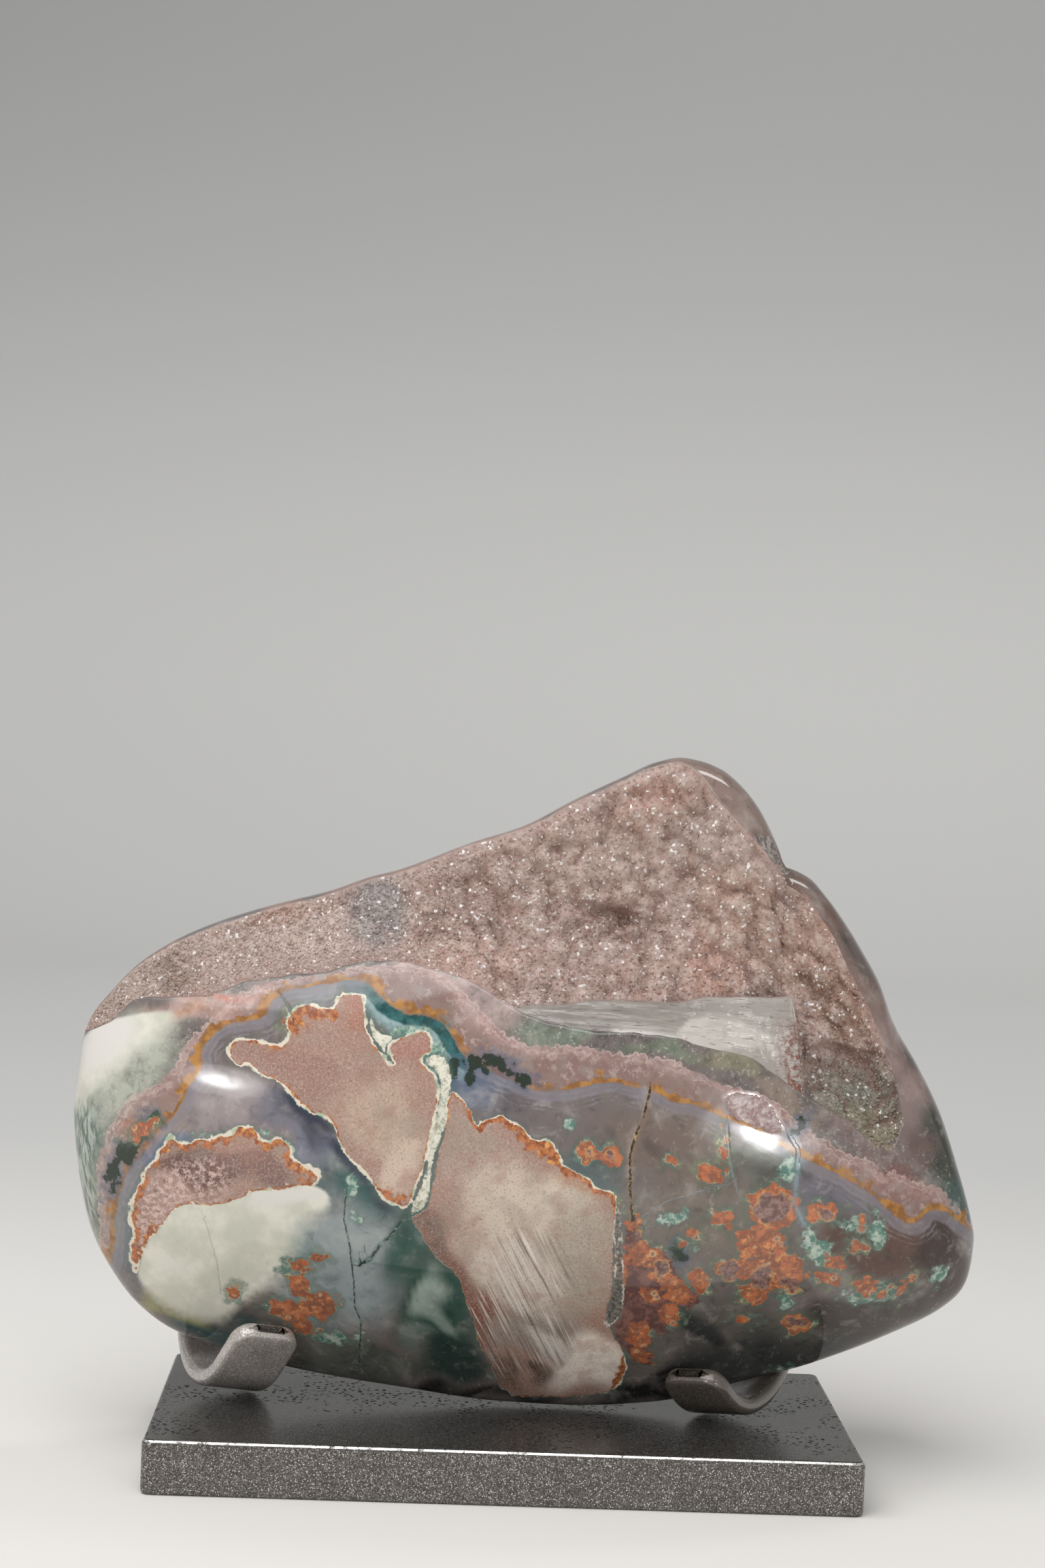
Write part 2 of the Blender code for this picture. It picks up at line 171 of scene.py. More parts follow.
JASPER_A = [
    (335, 1548), (340, 1531), (360, 1525), (400, 1535), (412, 1537), (428, 1522), (420, 1500), (430, 1482),
    (455, 1474), (482, 1484), (495, 1478), (498, 1460), (535, 1458), (535, 1478), (538, 1515), (550, 1535),
    (562, 1550), (575, 1568), (582, 1560), (568, 1542), (580, 1528), (605, 1519), (622, 1513), (636, 1525),
    (633, 1545), (618, 1552), (622, 1567), (640, 1578), (645, 1600), (640, 1640), (630, 1680), (620, 1720),
    (606, 1760), (596, 1776), (580, 1768), (565, 1765), (550, 1740), (530, 1716), (515, 1705), (502, 1686),
    (495, 1660), (480, 1641), (455, 1635), (435, 1615), (412, 1590), (400, 1585), (375, 1577), (365, 1561),
    (350, 1567)]
JASPER_B = [
    (660, 1603), (675, 1608), (690, 1632), (700, 1659), (712, 1648), (724, 1641), (740, 1640), (752, 1650),
    (768, 1656), (775, 1670), (788, 1676), (803, 1674), (812, 1678), (818, 1690), (822, 1706), (832, 1716),
    (845, 1722), (860, 1727), (870, 1736), (878, 1748), (905, 1752), (906, 1785), (900, 1830), (900, 1900),
    (888, 1930), (900, 1960), (915, 1985), (922, 2010), (912, 2035), (880, 2050), (800, 2052), (740, 2050),
    (722, 2005), (712, 1985), (700, 1962), (700, 1940), (690, 1926), (683, 1905), (680, 1886), (665, 1865),
    (648, 1854), (635, 1840), (625, 1820), (612, 1806), (603, 1790), (614, 1784), (631, 1772), (637, 1740),
    (644, 1700), (655, 1660)]
# The seam between the left jasper and the white calcite below it
SEAM_L = [
    (462, 1742), (440, 1742), (400, 1750), (380, 1748), (362, 1755), (345, 1765), (320, 1771), (270, 1768),
    (255, 1778), (245, 1790), (230, 1810), (215, 1826), (208, 1850)]
JASPER_L = [
    (200, 1872), (192, 1850), (193, 1830), (198, 1808), (190, 1790), (191, 1774), (196, 1758), (208, 1738),
    (213, 1722), (226, 1705), (240, 1685), (247, 1671), (260, 1674), (270, 1681), (290, 1675), (312, 1673),
    (325, 1670), (340, 1664), (352, 1656), (364, 1653), (374, 1662), (382, 1674), (393, 1680), (406, 1673),
    (420, 1676), (432, 1690), (428, 1700), (445, 1712), (468, 1724), (473, 1735), *SEAM_L]
WHITE_L = [
    (202, 1872), *SEAM_L[::-1], (484, 1756), (482, 1772), (455, 1782), (430, 1800), (425, 1835), (412, 1870),
    (375, 1895), (345, 1915), (330, 1938), (290, 1936), (240, 1915), (212, 1888)]
WHITE_CORNER = [
    (104, 1560), (118, 1530), (140, 1508), (165, 1498), (225, 1487), (256, 1489), (246, 1508), (205, 1533),
    (175, 1560), (150, 1582), (125, 1612), (104, 1625)]
# Where the white calcite fades out, in pixels: its large patch to the right, low down and at its foot,
# its corner patch along v + 0.35 u, and the level between the two patches
WHITE_RIGHT_FADE = (350, 440)
WHITE_LOW_FADE = (1760, 1800)
WHITE_FOOT_FADE = (1860, 1920)
WHITE_CORNER_FADE = (1560, 1610)
WHITE_PARTING = 1650
CREAM_VEIN = [
    (668, 1590), (664, 1640), (655, 1662), (650, 1682), (640, 1702), (636, 1740), (632, 1774), (614, 1787),
    (598, 1792), (600, 1772), (614, 1747), (625, 1712), (622, 1685), (636, 1640), (645, 1600), (640, 1575),
    (622, 1565), (622, 1552), (636, 1545), (652, 1545), (664, 1565)]
CREAM_TOWER = [
    (538, 1470), (548, 1490), (556, 1512), (572, 1520), (590, 1515), (600, 1517), (578, 1530), (568, 1542),
    (580, 1560), (575, 1570), (562, 1550), (550, 1535), (540, 1515)]
GLASS_VEIN = [
    (906, 1760), (914, 1786), (918, 1850), (918, 1925), (905, 1945), (888, 1955), (886, 1940), (900, 1905),
    (903, 1850), (900, 1800)]
MAROON_PATCH = [
    (918, 1785), (932, 1788), (942, 1798), (945, 1828), (960, 1830), (985, 1845), (1000, 1880), (1025, 1900),
    (1030, 1915), (1005, 1925), (985, 1912), (975, 1930), (985, 1955), (972, 1965), (955, 1945), (950, 1975),
    (962, 1995), (950, 2012), (925, 1992), (905, 1975), (900, 1950), (918, 1925)]
CHIP = [
    (1064, 1612), (1085, 1606), (1112, 1610), (1130, 1622), (1142, 1645), (1152, 1662), (1130, 1662),
    (1098, 1650), (1075, 1640)]
# Facets of the calcite blade given painted light, and where it grows paler to the right, in pixels
BLADE_PALE_FROM = (1000, 1080)
LIT_FACETS = [
    [(990, 1522), (1022, 1488), (1100, 1504), (1148, 1524), (1130, 1545), (1040, 1530), (985, 1526)],
    [(1118, 1548), (1140, 1528), (1158, 1500), (1166, 1530), (1150, 1556)],
    [(885, 1514), (930, 1508), (1040, 1526), (1085, 1540), (1060, 1546), (960, 1530)]]
# A pocket in the druse, and where its big lumps rise to their full height, in pixels
DRUSE_COARSE_FROM = (560, 700)
DRUSE_POCKET = [
    (1170, 1545), (1195, 1540), (1215, 1530), (1250, 1540), (1300, 1548), (1330, 1560), (1340, 1640),
    (1330, 1680), (1290, 1700), (1240, 1670), (1180, 1620)]
NOTCH_BREAK = [
    (1108, 1232), (1112, 1222), (1135, 1230), (1152, 1262), (1162, 1290), (1140, 1280), (1112, 1258)]
# Cracks: points of each in pixels, half width in millimetres, and its kind: 0 ochre, 0.5 green or 1 pale
CRACKS = [
    ([(955, 1604), (946, 1640), (936, 1664), (926, 1695), (926, 1745), (930, 1800)], 0.6, 0),
    ([(603, 1785), (588, 1797), (575, 1815), (556, 1833), (545, 1850), (530, 1858)], 0.55, 0.5),
    ([(508, 1760), (505, 1790), (514, 1830), (520, 1882), (521, 1920), (531, 1942), (528, 2000)], 0.22, 0.5),
    ([(1160, 1668), (1174, 1690), (1170, 1730), (1168, 1770), (1182, 1800)], 0.8, 1),
    ([(930, 1795), (980, 1765), (1060, 1742)], 0.12, 1),
    ([(1068, 1655), (1072, 1700), (1084, 1752)], 0.14, 1),
    ([(412, 1462), (424, 1480), (432, 1500)], 0.16, 0.5),
    ([(300, 1790), (318, 1850), (325, 1900)], 0.1, 1)]
# Orange spots: middle, half width, half height, in pixels, and turn in degrees
ORANGE_SPOTS = [
    (448, 1505, 32, 20, 10), (515, 1480, 14, 20, 0), (575, 1757, 16, 9, 25),
    (440, 1890, 14, 24, -10), (428, 1925, 34, 16, 10), (470, 1918, 26, 22, 0), (448, 1950, 20, 10, 0),
    (465, 1848, 11, 7, 0), (440, 1862, 16, 9, 0),
    (862, 1692, 17, 17, 20), (898, 1699, 18, 16, 0), (872, 1762, 32, 10, 5),
    (1135, 1775, 40, 34, -15), (1208, 1782, 28, 15, 0), (1062, 1791, 20, 13, 10), (1086, 1815, 10, 8, 0),
    (1120, 1840, 38, 46, 10), (1150, 1870, 34, 30, 0), (1075, 1865, 24, 14, 15), (1108, 1900, 22, 16, 0),
    (1170, 1945, 22, 16, 0), (1028, 1882, 16, 20, 0), (1098, 1940, 13, 6, 0), (1218, 1880, 20, 9, 5),
    (1230, 1855, 14, 10, 30), (1272, 1890, 14, 15, 0), (1300, 1900, 8, 12, 30), (1330, 1890, 6, 14, 40),
    (1020, 1812, 10, 8, 0), (1008, 1828, 8, 6, 0), (1268, 1798, 7, 12, 20), (990, 1707, 10, 8, 0),
    (1042, 1725, 22, 12, 40), (1065, 1690, 6, 22, 0), (985, 1930, 18, 18, 0), (940, 1965, 16, 26, 0),
    (1262, 1832, 16, 9, 0), (208, 1660, 22, 12, -35), (345, 1898, 11, 12, 0),
    (932, 1800, 12, 14, 0), (950, 1845, 34, 18, 25), (985, 1885, 36, 13, 28), (915, 1865, 10, 26, 0),
    (1000, 1905, 20, 12, 0), (960, 1905, 16, 12, 20), (940, 1990, 18, 9, 20)]
# Mauve and brown cores inside them
CORE_SPOTS = [
    (1135, 1776, 27, 22, -15), (1120, 1877, 16, 17, 0), (1072, 1866, 13, 13, 0), (1163, 1886, 15, 10, 0),
    (1170, 1943, 13, 9, 0), (1213, 1785, 10, 10, 0), (897, 1698, 6, 6, 0), (865, 1694, 5, 6, 0),
    (972, 1862, 9, 12, 20), (935, 1812, 7, 9, 0)]
MINT_SPOTS = [
    (998, 1788, 18, 9, 0), (975, 1795, 9, 7, 0), (1262, 1800, 24, 12, 10), (1290, 1812, 14, 26, 0),
    (1205, 1840, 18, 20, 0), (1190, 1825, 10, 22, 0), (1275, 1905, 34, 12, 0), (1302, 1900, 15, 15, 0),
    (1155, 1912, 11, 13, 0), (1380, 1875, 10, 14, 20), (492, 1965, 36, 9, 0), (432, 1862, 20, 12, 0),
    (1010, 1835, 14, 8, 0), (640, 1560, 18, 30, 0), (297, 1671, 8, 4, 0), (322, 1668, 6, 5, 0),
    (388, 1665, 6, 5, 0), (405, 1690, 14, 5, 20), (520, 1740, 9, 24, 15), (522, 1788, 8, 9, 0),
    (838, 1652, 10, 10, 0), (1165, 2016, 24, 8, 0), (600, 1518, 34, 10, 0),
    (1160, 1720, 14, 24, 0)]
# Dark green and black growths
DARK_SPOTS = [
    (223, 1645, 13, 10, 10), (188, 1692, 22, 15, -40), (168, 1724, 10, 22, 15), (206, 1672, 14, 8, -40),
    (700, 1563, 20, 8, 10), (735, 1563, 20, 10, 20), (770, 1586, 12, 8, 30), (690, 1580, 10, 12, 0),
    (1175, 1655, 5, 12, 40), (668, 1572, 8, 14, 0), (1000, 1842, 10, 16, 0), (795, 2005, 34, 9, 0)]
# Colour washes of the agate: middle, half width, half height, turn, colour and strength
GROUND = (118, 108, 104)
WASHES = [
    ((140, 1740), (60, 170), 0, (138, 141, 130), 1.0),
    ((190, 1570), (60, 100), 38, (176, 178, 164), 1.0),
    ((120, 1650), (34, 80), 0, (104, 122, 110), 0.9),
    ((300, 1475), (90, 26), -8, (182, 150, 140), 0.9),
    ((262, 1488), (30, 10), -10, (186, 128, 92), 0.7),
    ((340, 1464), (40, 8), -8, (196, 120, 96), 0.8),
    ((350, 1640), (110, 60), 0, (160, 148, 148), 0.8),
    ((430, 1640), (60, 40), 30, (112, 111, 122), 0.8),
    ((470, 1690), (60, 34), 45, (120, 124, 142), 0.7),
    ((450, 1655), (16, 60), -45, (60, 62, 70), 0.5),
    ((240, 1690), (34, 30), -45, (90, 108, 140), 0.9),
    ((205, 1800), (30, 90), 0, (116, 120, 124), 0.9),
    ((250, 1640), (46, 26), -35, (150, 132, 122), 0.7),
    ((207, 1662), (30, 15), -35, (168, 104, 56), 1.0),
    ((540, 1750), (60, 40), 40, (40, 84, 80), 0.95),
    ((470, 1760), (40, 20), 0, (54, 96, 96), 0.8),
    ((480, 1740), (30, 50), 0, (96, 108, 106), 0.7),
    ((500, 1860), (110, 100), 0, (146, 156, 156), 1.0),
    ((430, 1820), (50, 40), 0, (112, 136, 132), 0.6),
    ((640, 1900), (70, 110), -20, (52, 80, 70), 1.0),
    ((600, 1810), (34, 44), 30, (30, 78, 68), 0.9),
    ((628, 1905), (26, 36), 20, (156, 170, 160), 0.9),
    ((658, 1948), (18, 34), -30, (140, 156, 146), 0.8),
    ((612, 1962), (24, 16), 0, (120, 132, 126), 0.6),
    ((660, 2000), (60, 40), 0, (38, 60, 54), 0.9),
    ((330, 1960), (80, 26), 10, (60, 84, 84), 0.9),
    ((260, 1925), (60, 16), 20, (166, 164, 96), 0.5),
    ((520, 2000), (110, 34), 5, (92, 96, 88), 0.9),
    ((470, 1455), (70, 14), -8, (128, 132, 130), 0.9),
    ((540, 1470), (46, 26), 30, (58, 96, 96), 0.8),
    ((700, 1462), (80, 40), 32, (190, 168, 163), 1.0),
    ((760, 1520), (60, 24), 20, (160, 142, 136), 0.8),
    ((610, 1500), (50, 16), 10, (96, 128, 138), 0.9),
    ((655, 1540), (22, 50), 0, (48, 104, 100), 1.0),
    ((700, 1590), (60, 30), 20, (104, 110, 128), 0.9),
    ((735, 1568), (20, 8), 0, (44, 70, 122), 0.7),
    ((800, 1640), (120, 34), 0, (112, 104, 106), 0.9),
    ((860, 1650), (90, 40), 0, (116, 104, 98), 0.7),
    ((880, 1720), (60, 26), 20, (92, 104, 104), 0.9),
    ((1000, 1680), (110, 70), 0, (119, 104, 95), 0.9),
    ((1110, 1710), (70, 30), 15, (104, 108, 96), 0.8),
    ((1172, 1700), (20, 30), 0, (84, 132, 136), 0.8),
    ((1230, 1770), (70, 30), 25, (110, 108, 118), 0.7),
    ((1050, 1790), (110, 60), 0, (116, 106, 92), 0.6),
    ((1300, 1830), (110, 60), 0, (92, 68, 58), 1.0),
    ((1390, 1850), (40, 80), 0, (64, 48, 42), 1.0),
    ((1280, 1930), (120, 40), -15, (76, 68, 62), 1.0),
    ((1080, 1960), (140, 60), 10, (92, 88, 80), 0.8),
    # These five near-black washes along the underside are painted reflection of the dark plate and painted
    # shade under the stone
    ((1090, 2005), (130, 42), -8, (66, 67, 66), 1.0),
    ((1030, 1945), (50, 26), 40, (54, 56, 55), 1.0),
    ((1200, 1992), (80, 24), -20, (62, 62, 60), 0.9),
    ((960, 2040), (90, 26), 0, (38, 36, 36), 1.0),
    ((700, 2050), (140, 14), 0, (34, 30, 28), 0.9),
    ((640, 1430), (60, 12), 20, (176, 150, 144), 0.9),
    ((820, 1522), (70, 18), 0, (132, 138, 124), 1.0),
    ((850, 1532), (40, 12), 0, (122, 130, 116), 0.9),
    ((970, 1542), (60, 14), 5, (120, 127, 110), 0.9),
    ((1070, 1560), (60, 20), 15, (140, 132, 112), 1.0),
    ((1150, 1610), (60, 26), 35, (142, 124, 112), 0.9),
    ((1260, 1670), (80, 26), 38, (128, 110, 106), 1.0),
    ((1350, 1690), (30, 70), -10, (126, 108, 104), 0.9),
    ((1395, 1700), (36, 90), -14, (68, 70, 58), 1.0),
    ((1330, 1742), (60, 24), 22, (120, 88, 82), 0.9),
    ((1350, 1690), (24, 26), 0, (104, 86, 80), 0.8),
    ((1405, 1760), (22, 34), 0, (66, 90, 84), 0.8),
    ((1030, 1150), (80, 60), 50, (138, 116, 106), 1.0),
    ((1110, 1215), (60, 70), -30, (140, 120, 110), 1.0),
    ((1190, 1340), (60, 90), -35, (110, 86, 76), 1.0),
    ((1270, 1440), (60, 90), -30, (126, 104, 96), 1.0),
    ((1330, 1560), (50, 90), -25, (150, 128, 122), 1.0),
    ((1262, 1370), (22, 120), -32, (104, 92, 86), 0.9),
    ((1345, 1540), (16, 110), -22, (98, 88, 84), 0.9),
    ((560, 1290), (420, 16), -20, (160, 130, 118), 0.9),
    ((170, 1460), (60, 20), -40, (150, 128, 118), 0.9)]
# The same on the jaspers
JASPER_GROUND = (166, 134, 120)
JASPER_WASHES = [
    ((420, 1570), (90, 40), 20, (156, 122, 110), 0.9),
    ((560, 1640), (60, 70), -30, (186, 162, 144), 0.9),
    ((520, 1490), (24, 34), 0, (170, 118, 100), 0.9),
    ((600, 1545), (34, 24), 0, (170, 124, 112), 0.9),
    ((590, 1710), (34, 50), 0, (202, 180, 162), 1.0),
    ((700, 1690), (50, 70), 0, (170, 146, 134), 1.0),
    ((780, 1790), (110, 80), 20, (204, 188, 170), 1.0),
    ((770, 1880), (100, 60), 30, (204, 190, 178), 1.0),
    ((850, 1850), (50, 90), 0, (166, 154, 140), 0.9),
    ((640, 1830), (26, 66), -35, (116, 88, 78), 1.0),
    ((690, 1930), (30, 80), -20, (132, 84, 72), 1.0),
    ((800, 1960), (90, 40), 20, (152, 142, 134), 0.9),
    # This near-white wash low on the jasper is painted light from the floor's bounce
    ((864, 2003), (66, 44), 0, (255, 240, 226), 1.0),
    ((805, 1972), (34, 16), 35, (214, 204, 194), 0.9),
    ((722, 2020), (34, 34), 0, (104, 80, 70), 0.9),
    ((790, 2016), (26, 10), 0, (60, 46, 40), 0.9),
    ((740, 2042), (40, 12), 0, (128, 96, 80), 0.8),
    ((860, 1745), (50, 20), 15, (172, 132, 104), 0.7),
    ((290, 1720), (90, 30), -5, (100, 64, 58), 1.0),
    ((380, 1715), (70, 24), 12, (132, 100, 94), 1.0),
    ((250, 1770), (40, 50), -35, (176, 142, 134), 0.9)]
# Broad orange rims of the jaspers: middle, half sizes, turn, width and the cream edge's half width
ORANGE_RIMS = [
    ((455, 1498), (44, 26), 0, 5.0, 0.2), ((380, 1540), (50, 16), 0, 1.6, 0.4),
    ((575, 1752), (24, 20), 0, 3.0, 0.4), ((440, 1610), (90, 24), 45, 1.2, 0.4),
    ((800, 1690), (140, 44), 32, 2.2, 0.22), ((800, 1690), (46, 20), 20, 5.0, 0.2),
    ((905, 1752), (16, 12), 0, 3.0, 0.2), ((912, 2020), (16, 26), 0, 2.4, 0.3),
    ((330, 1675), (130, 26), 0, 3.2, 0.45), ((210, 1770), (24, 100), 10, 2.4, 0.45),
    ((440, 1715), (40, 20), 25, 3.0, 0.45), ((668, 1625), (26, 26), 30, 0.6, 0.2)]
# Where some looks are full: middle, half sizes and turn of ovals
SHARES = {
    "streak": [((745, 1950), (70, 70), 30), ((805, 1970), (50, 40), 0), ((780, 1860), (70, 50), 30)],
    "fleck": [((270, 1750), (80, 44), -25), ((225, 1790), (30, 60), 10)],
    "arc": [((590, 1480), (66, 40), 25), ((655, 1540), (36, 66), -10)],
    "navy": [((440, 1640), (60, 26), 36), ((505, 1715), (60, 26), 52), ((560, 1790), (40, 22), 45)],
    "edge_streak": [((110, 1660), (34, 80), 0), ((120, 1760), (22, 60), 0)],
    "bright": [((420, 1758), (60, 12), -6), ((150, 1530), (60, 34), -35), ((104, 1590), (12, 40), 0)]}
# Made-up markings of the back, in a straight view of it on the same scale, with the ground at this height
BACK_GROUND = 2130
BACK_LINE = [
    (60, 1830), (150, 1806), (230, 1740), (300, 1640), (350, 1560), (430, 1510), (500, 1500), (570, 1440),
    (640, 1400), (720, 1420), (790, 1400), (860, 1450), (900, 1530), (980, 1560), (1060, 1620), (1120, 1640),
    (1190, 1710), (1270, 1780), (1330, 1850), (1390, 1880), (1500, 1930), (1500, 2300), (60, 2300)]
BACK_PINK = [
    (60, 1796), (140, 1760), (200, 1690), (260, 1600), (320, 1500), (400, 1450), (490, 1440), (560, 1380),
    (640, 1335), (720, 1350), (800, 1325), (880, 1380), (940, 1470), (1010, 1500), (1090, 1560),
    (1150, 1590), (1230, 1660), (1310, 1730), (1370, 1800), (1420, 1840), (1500, 1880), (1500, 2300),
    (60, 2300)]
BACK_JASPER_A = [
    (600, 1560), (640, 1530), (680, 1545), (720, 1520), (770, 1540), (800, 1590), (850, 1620), (860, 1680),
    (900, 1720), (890, 1780), (850, 1800), (840, 1860), (790, 1900), (740, 1880), (700, 1900), (660, 1850),
    (670, 1790), (620, 1750), (630, 1690), (590, 1650), (570, 1600)]
BACK_JASPER_B = [
    (280, 1750), (320, 1720), (360, 1735), (400, 1710), (440, 1740), (470, 1790), (450, 1840), (400, 1870),
    (350, 1860), (300, 1880), (260, 1840), (250, 1790)]
BACK_WHITE = [
    (1000, 1790), (1060, 1760), (1120, 1780), (1180, 1830), (1170, 1890), (1110, 1930), (1040, 1920),
    (990, 1860)]
BACK_VEIN = [
    (905, 1720), (925, 1760), (930, 1820), (960, 1870), (1000, 1900), (985, 1915), (940, 1890), (912, 1830),
    (905, 1770), (892, 1735)]
BACK_ORANGE = [
    (500, 1640, 26, 20, 10), (470, 1600, 14, 12, 0), (530, 1680, 16, 22, 0), (200, 1860, 20, 14, 20),
    (230, 1900, 14, 12, 0), (560, 1880, 30, 22, -10), (600, 1920, 16, 12, 0), (520, 1920, 14, 16, 0),
    (960, 1640, 18, 14, 0), (1000, 1690, 26, 20, 15), (1050, 1700, 12, 10, 0), (980, 1960, 22, 12, 0),
    (1240, 1880, 18, 16, 0), (1280, 1920, 12, 10, 0), (760, 1960, 18, 10, 0)]
BACK_CORES = [(500, 1640, 13, 10, 0), (560, 1880, 16, 11, 0), (1000, 1690, 12, 10, 0), (1240, 1880, 8, 8, 0)]
BACK_MINT = [
    (450, 1660, 14, 20, 0), (540, 1740, 10, 22, 20), (190, 1900, 24, 10, 0), (640, 1960, 34, 9, 0),
    (930, 1660, 12, 16, 0), (1080, 1740, 16, 10, 0), (1220, 1930, 20, 9, 0)]
BACK_DARK = [(420, 1545, 18, 9, -20), (450, 1535, 12, 10, 0), (905, 1560, 16, 9, 40), (1100, 1660, 10, 8, 0)]
BACK_CRACKS = [
    ([(700, 1420), (690, 1470), (705, 1520), (700, 1560)], 0.3, 0),
    ([(900, 1800), (930, 1850), (925, 1910), (950, 1980)], 0.35, 0),
    ([(480, 1700), (440, 1760), (470, 1830)], 0.25, 1)]
BACK_WASHES = [
    ((300, 1500), (120, 120), -30, (142, 128, 120), 0.9),
    ((620, 1260), (200, 80), -20, (160, 140, 132), 0.9),
    ((560, 1180), (160, 60), -30, (120, 112, 106), 0.8),
    ((860, 1300), (140, 60), 20, (134, 136, 124), 0.9),
    ((1100, 1450), (160, 60), 30, (150, 142, 132), 0.9),
    ((1260, 1600), (90, 90), 0, (118, 126, 116), 0.8),
    ((1360, 1730), (60, 90), 0, (168, 170, 158), 0.9),
    ((180, 1740), (50, 80), 0, (86, 92, 86), 0.8),
    ((520, 1560), (90, 40), -20, (110, 110, 120), 0.8),
    ((500, 1700), (100, 90), 0, (112, 100, 92), 0.9),
    ((560, 1800), (70, 60), 0, (62, 88, 84), 0.9),
    ((300, 1930), (120, 50), 0, (70, 80, 76), 0.9),
    ((960, 1720), (80, 60), 0, (104, 112, 112), 0.9),
    ((930, 1880), (60, 80), 0, (44, 80, 74), 0.9),
    ((1100, 1860), (140, 80), 0, (120, 128, 124), 0.9),
    ((1260, 1880), (90, 60), 0, (108, 98, 92), 0.8),
    # This near-black wash along the underside is painted shade and painted reflection of the dark plate
    ((700, 1990), (300, 40), 0, (50, 52, 50), 0.9)]
BACK_JASPER_WASHES = [
    ((660, 1600), (80, 60), 0, (162, 126, 112), 0.9),
    ((760, 1740), (90, 90), 0, (184, 160, 142), 0.9),
    ((760, 1860), (60, 40), 0, (150, 118, 104), 0.9),
    ((350, 1790), (90, 60), 0, (152, 116, 108), 0.9)]
# The front's and the back's markings by name. Each jasper has the width of its orange rim, half that of its
# cream edge and the strength of its green halo.
FRONT = {
    "line": ORANGE_LINE, "pink": PINK_EDGE,
    "jaspers": [(JASPER_A, 0.5, 0.40, 0.35), (JASPER_B, 0.15, 0.03, 0.4), (JASPER_L, 0.6, 0.45, 1.0)],
    "rims": ORANGE_RIMS, "white": [WHITE_L, WHITE_CORNER], "cream": [CREAM_VEIN, CREAM_TOWER],
    "glass": [GLASS_VEIN], "maroon": [MAROON_PATCH], "chip": [CHIP], "notch": [NOTCH_BREAK],
    "orange": ORANGE_SPOTS, "core": CORE_SPOTS, "mint": MINT_SPOTS, "dark": DARK_SPOTS,
    "cracks": CRACKS, "shares": SHARES, "ground": (GROUND, WASHES),
    "filling": (JASPER_GROUND, JASPER_WASHES)}
BACK = {
    "line": BACK_LINE, "pink": BACK_PINK,
    "jaspers": [(BACK_JASPER_A, 0.6, 0.25, 1.0), (BACK_JASPER_B, 0.8, 0.30, 1.2)],
    "rims": [((720, 1540), (120, 40), 0, 3.0, 0.4), ((280, 1800), (50, 90), 0, 2.6, 0.45)],
    "white": [BACK_WHITE], "cream": [BACK_VEIN], "glass": [], "maroon": [], "chip": [], "notch": [],
    "orange": BACK_ORANGE, "core": BACK_CORES, "mint": BACK_MINT, "dark": BACK_DARK,
    "cracks": BACK_CRACKS, "shares": {"fleck": [((340, 1790), (60, 50), 0)]},
    "ground": (GROUND, BACK_WASHES), "filling": (JASPER_GROUND, BACK_JASPER_WASHES)}
# Colour washes of the druse
DRUSE_GROUND = (172, 146, 136)
DRUSE_WASHES = [
    ((180, 1440), (90, 50), -30, (176, 158, 147), 0.9),
    ((258, 1430), (34, 34), 0, (148, 128, 116), 0.8),
    ((330, 1400), (90, 50), 0, (180, 160, 150), 0.8),
    ((460, 1370), (90, 50), 0, (190, 170, 160), 0.8),
    ((555, 1340), (50, 60), 0, (140, 134, 132), 0.9),
    ((420, 1345), (70, 14), -10, (166, 132, 118), 0.6),
    ((700, 1320), (100, 70), 0, (156, 130, 120), 0.8),
    ((700, 1420), (90, 40), 0, (188, 156, 144), 0.8),
    ((870, 1270), (110, 60), 0, (176, 152, 140), 0.7),
    ((900, 1360), (70, 34), 0, (136, 108, 98), 0.8),
    ((960, 1180), (60, 40), -20, (176, 138, 122), 0.8),
    ((1020, 1230), (60, 50), 0, (164, 144, 134), 0.7),
    ((1080, 1330), (60, 60), 0, (176, 146, 130), 0.8),
    ((1050, 1430), (50, 60), 0, (174, 134, 118), 0.8),
    ((960, 1440), (60, 40), 0, (176, 146, 134), 0.7),
    ((1170, 1400), (70, 60), 0, (182, 150, 135), 0.7),
    ((1240, 1470), (50, 70), -20, (142, 110, 92), 0.8),
    ((1200, 1330), (30, 50), -30, (148, 114, 96), 0.8),
    ((1160, 1540), (40, 30), 0, (146, 122, 110), 0.8),
    ((1260, 1610), (90, 60), 20, (122, 120, 108), 1.0),
    ((1270, 1660), (60, 40), 20, (132, 128, 104), 0.8)]
# Hollows in the druse: middle, half sizes and turn in pixels, and depth in millimetres
HOLLOWS = [
    ((905, 1345), (62, 13), 14, 5.0), ((912, 1368), (26, 16), 40, 4.0), ((762, 1262), (22, 12), 30, 2.5),
    ((835, 1245), (26, 10), -10, 2.5), ((880, 1250), (16, 16), 0, 2.0), ((1110, 1480), (40, 20), 0, 2.5),
    ((1000, 1300), (30, 20), 0, 2.0), ((1180, 1450), (26, 30), 0, 2.0), ((640, 1380), (30, 18), 0, 1.5),
    ((258, 1430), (30, 30), 0, 2.0)]
# Lumps of the druse in millimetres, in three layers: their least and greatest radius, and their spacing
LUMP_SIZES = [((3.8, 6.2), 6.6), ((1.5, 2.6), 2.3), ((0.7, 1.3), 1.15)]
MARK_FAR = 25.0             # markings farther off than this, in millimetres, don't matter
# A jasper's orange rim, half its cream edge and its halo's strength, where no jasper gives its own
PLAIN_WIDTHS = {"rim_wide": 1.0, "edge_wide": 0.3, "halo": 0.5}

# Looks of the three steel pieces, all one powder coat
PLATE_COAT = dict(ground=(62, 59, 56), flake_tint=(174, 167, 160), glint_share=0.05, rough=0.24, coat=0.05)
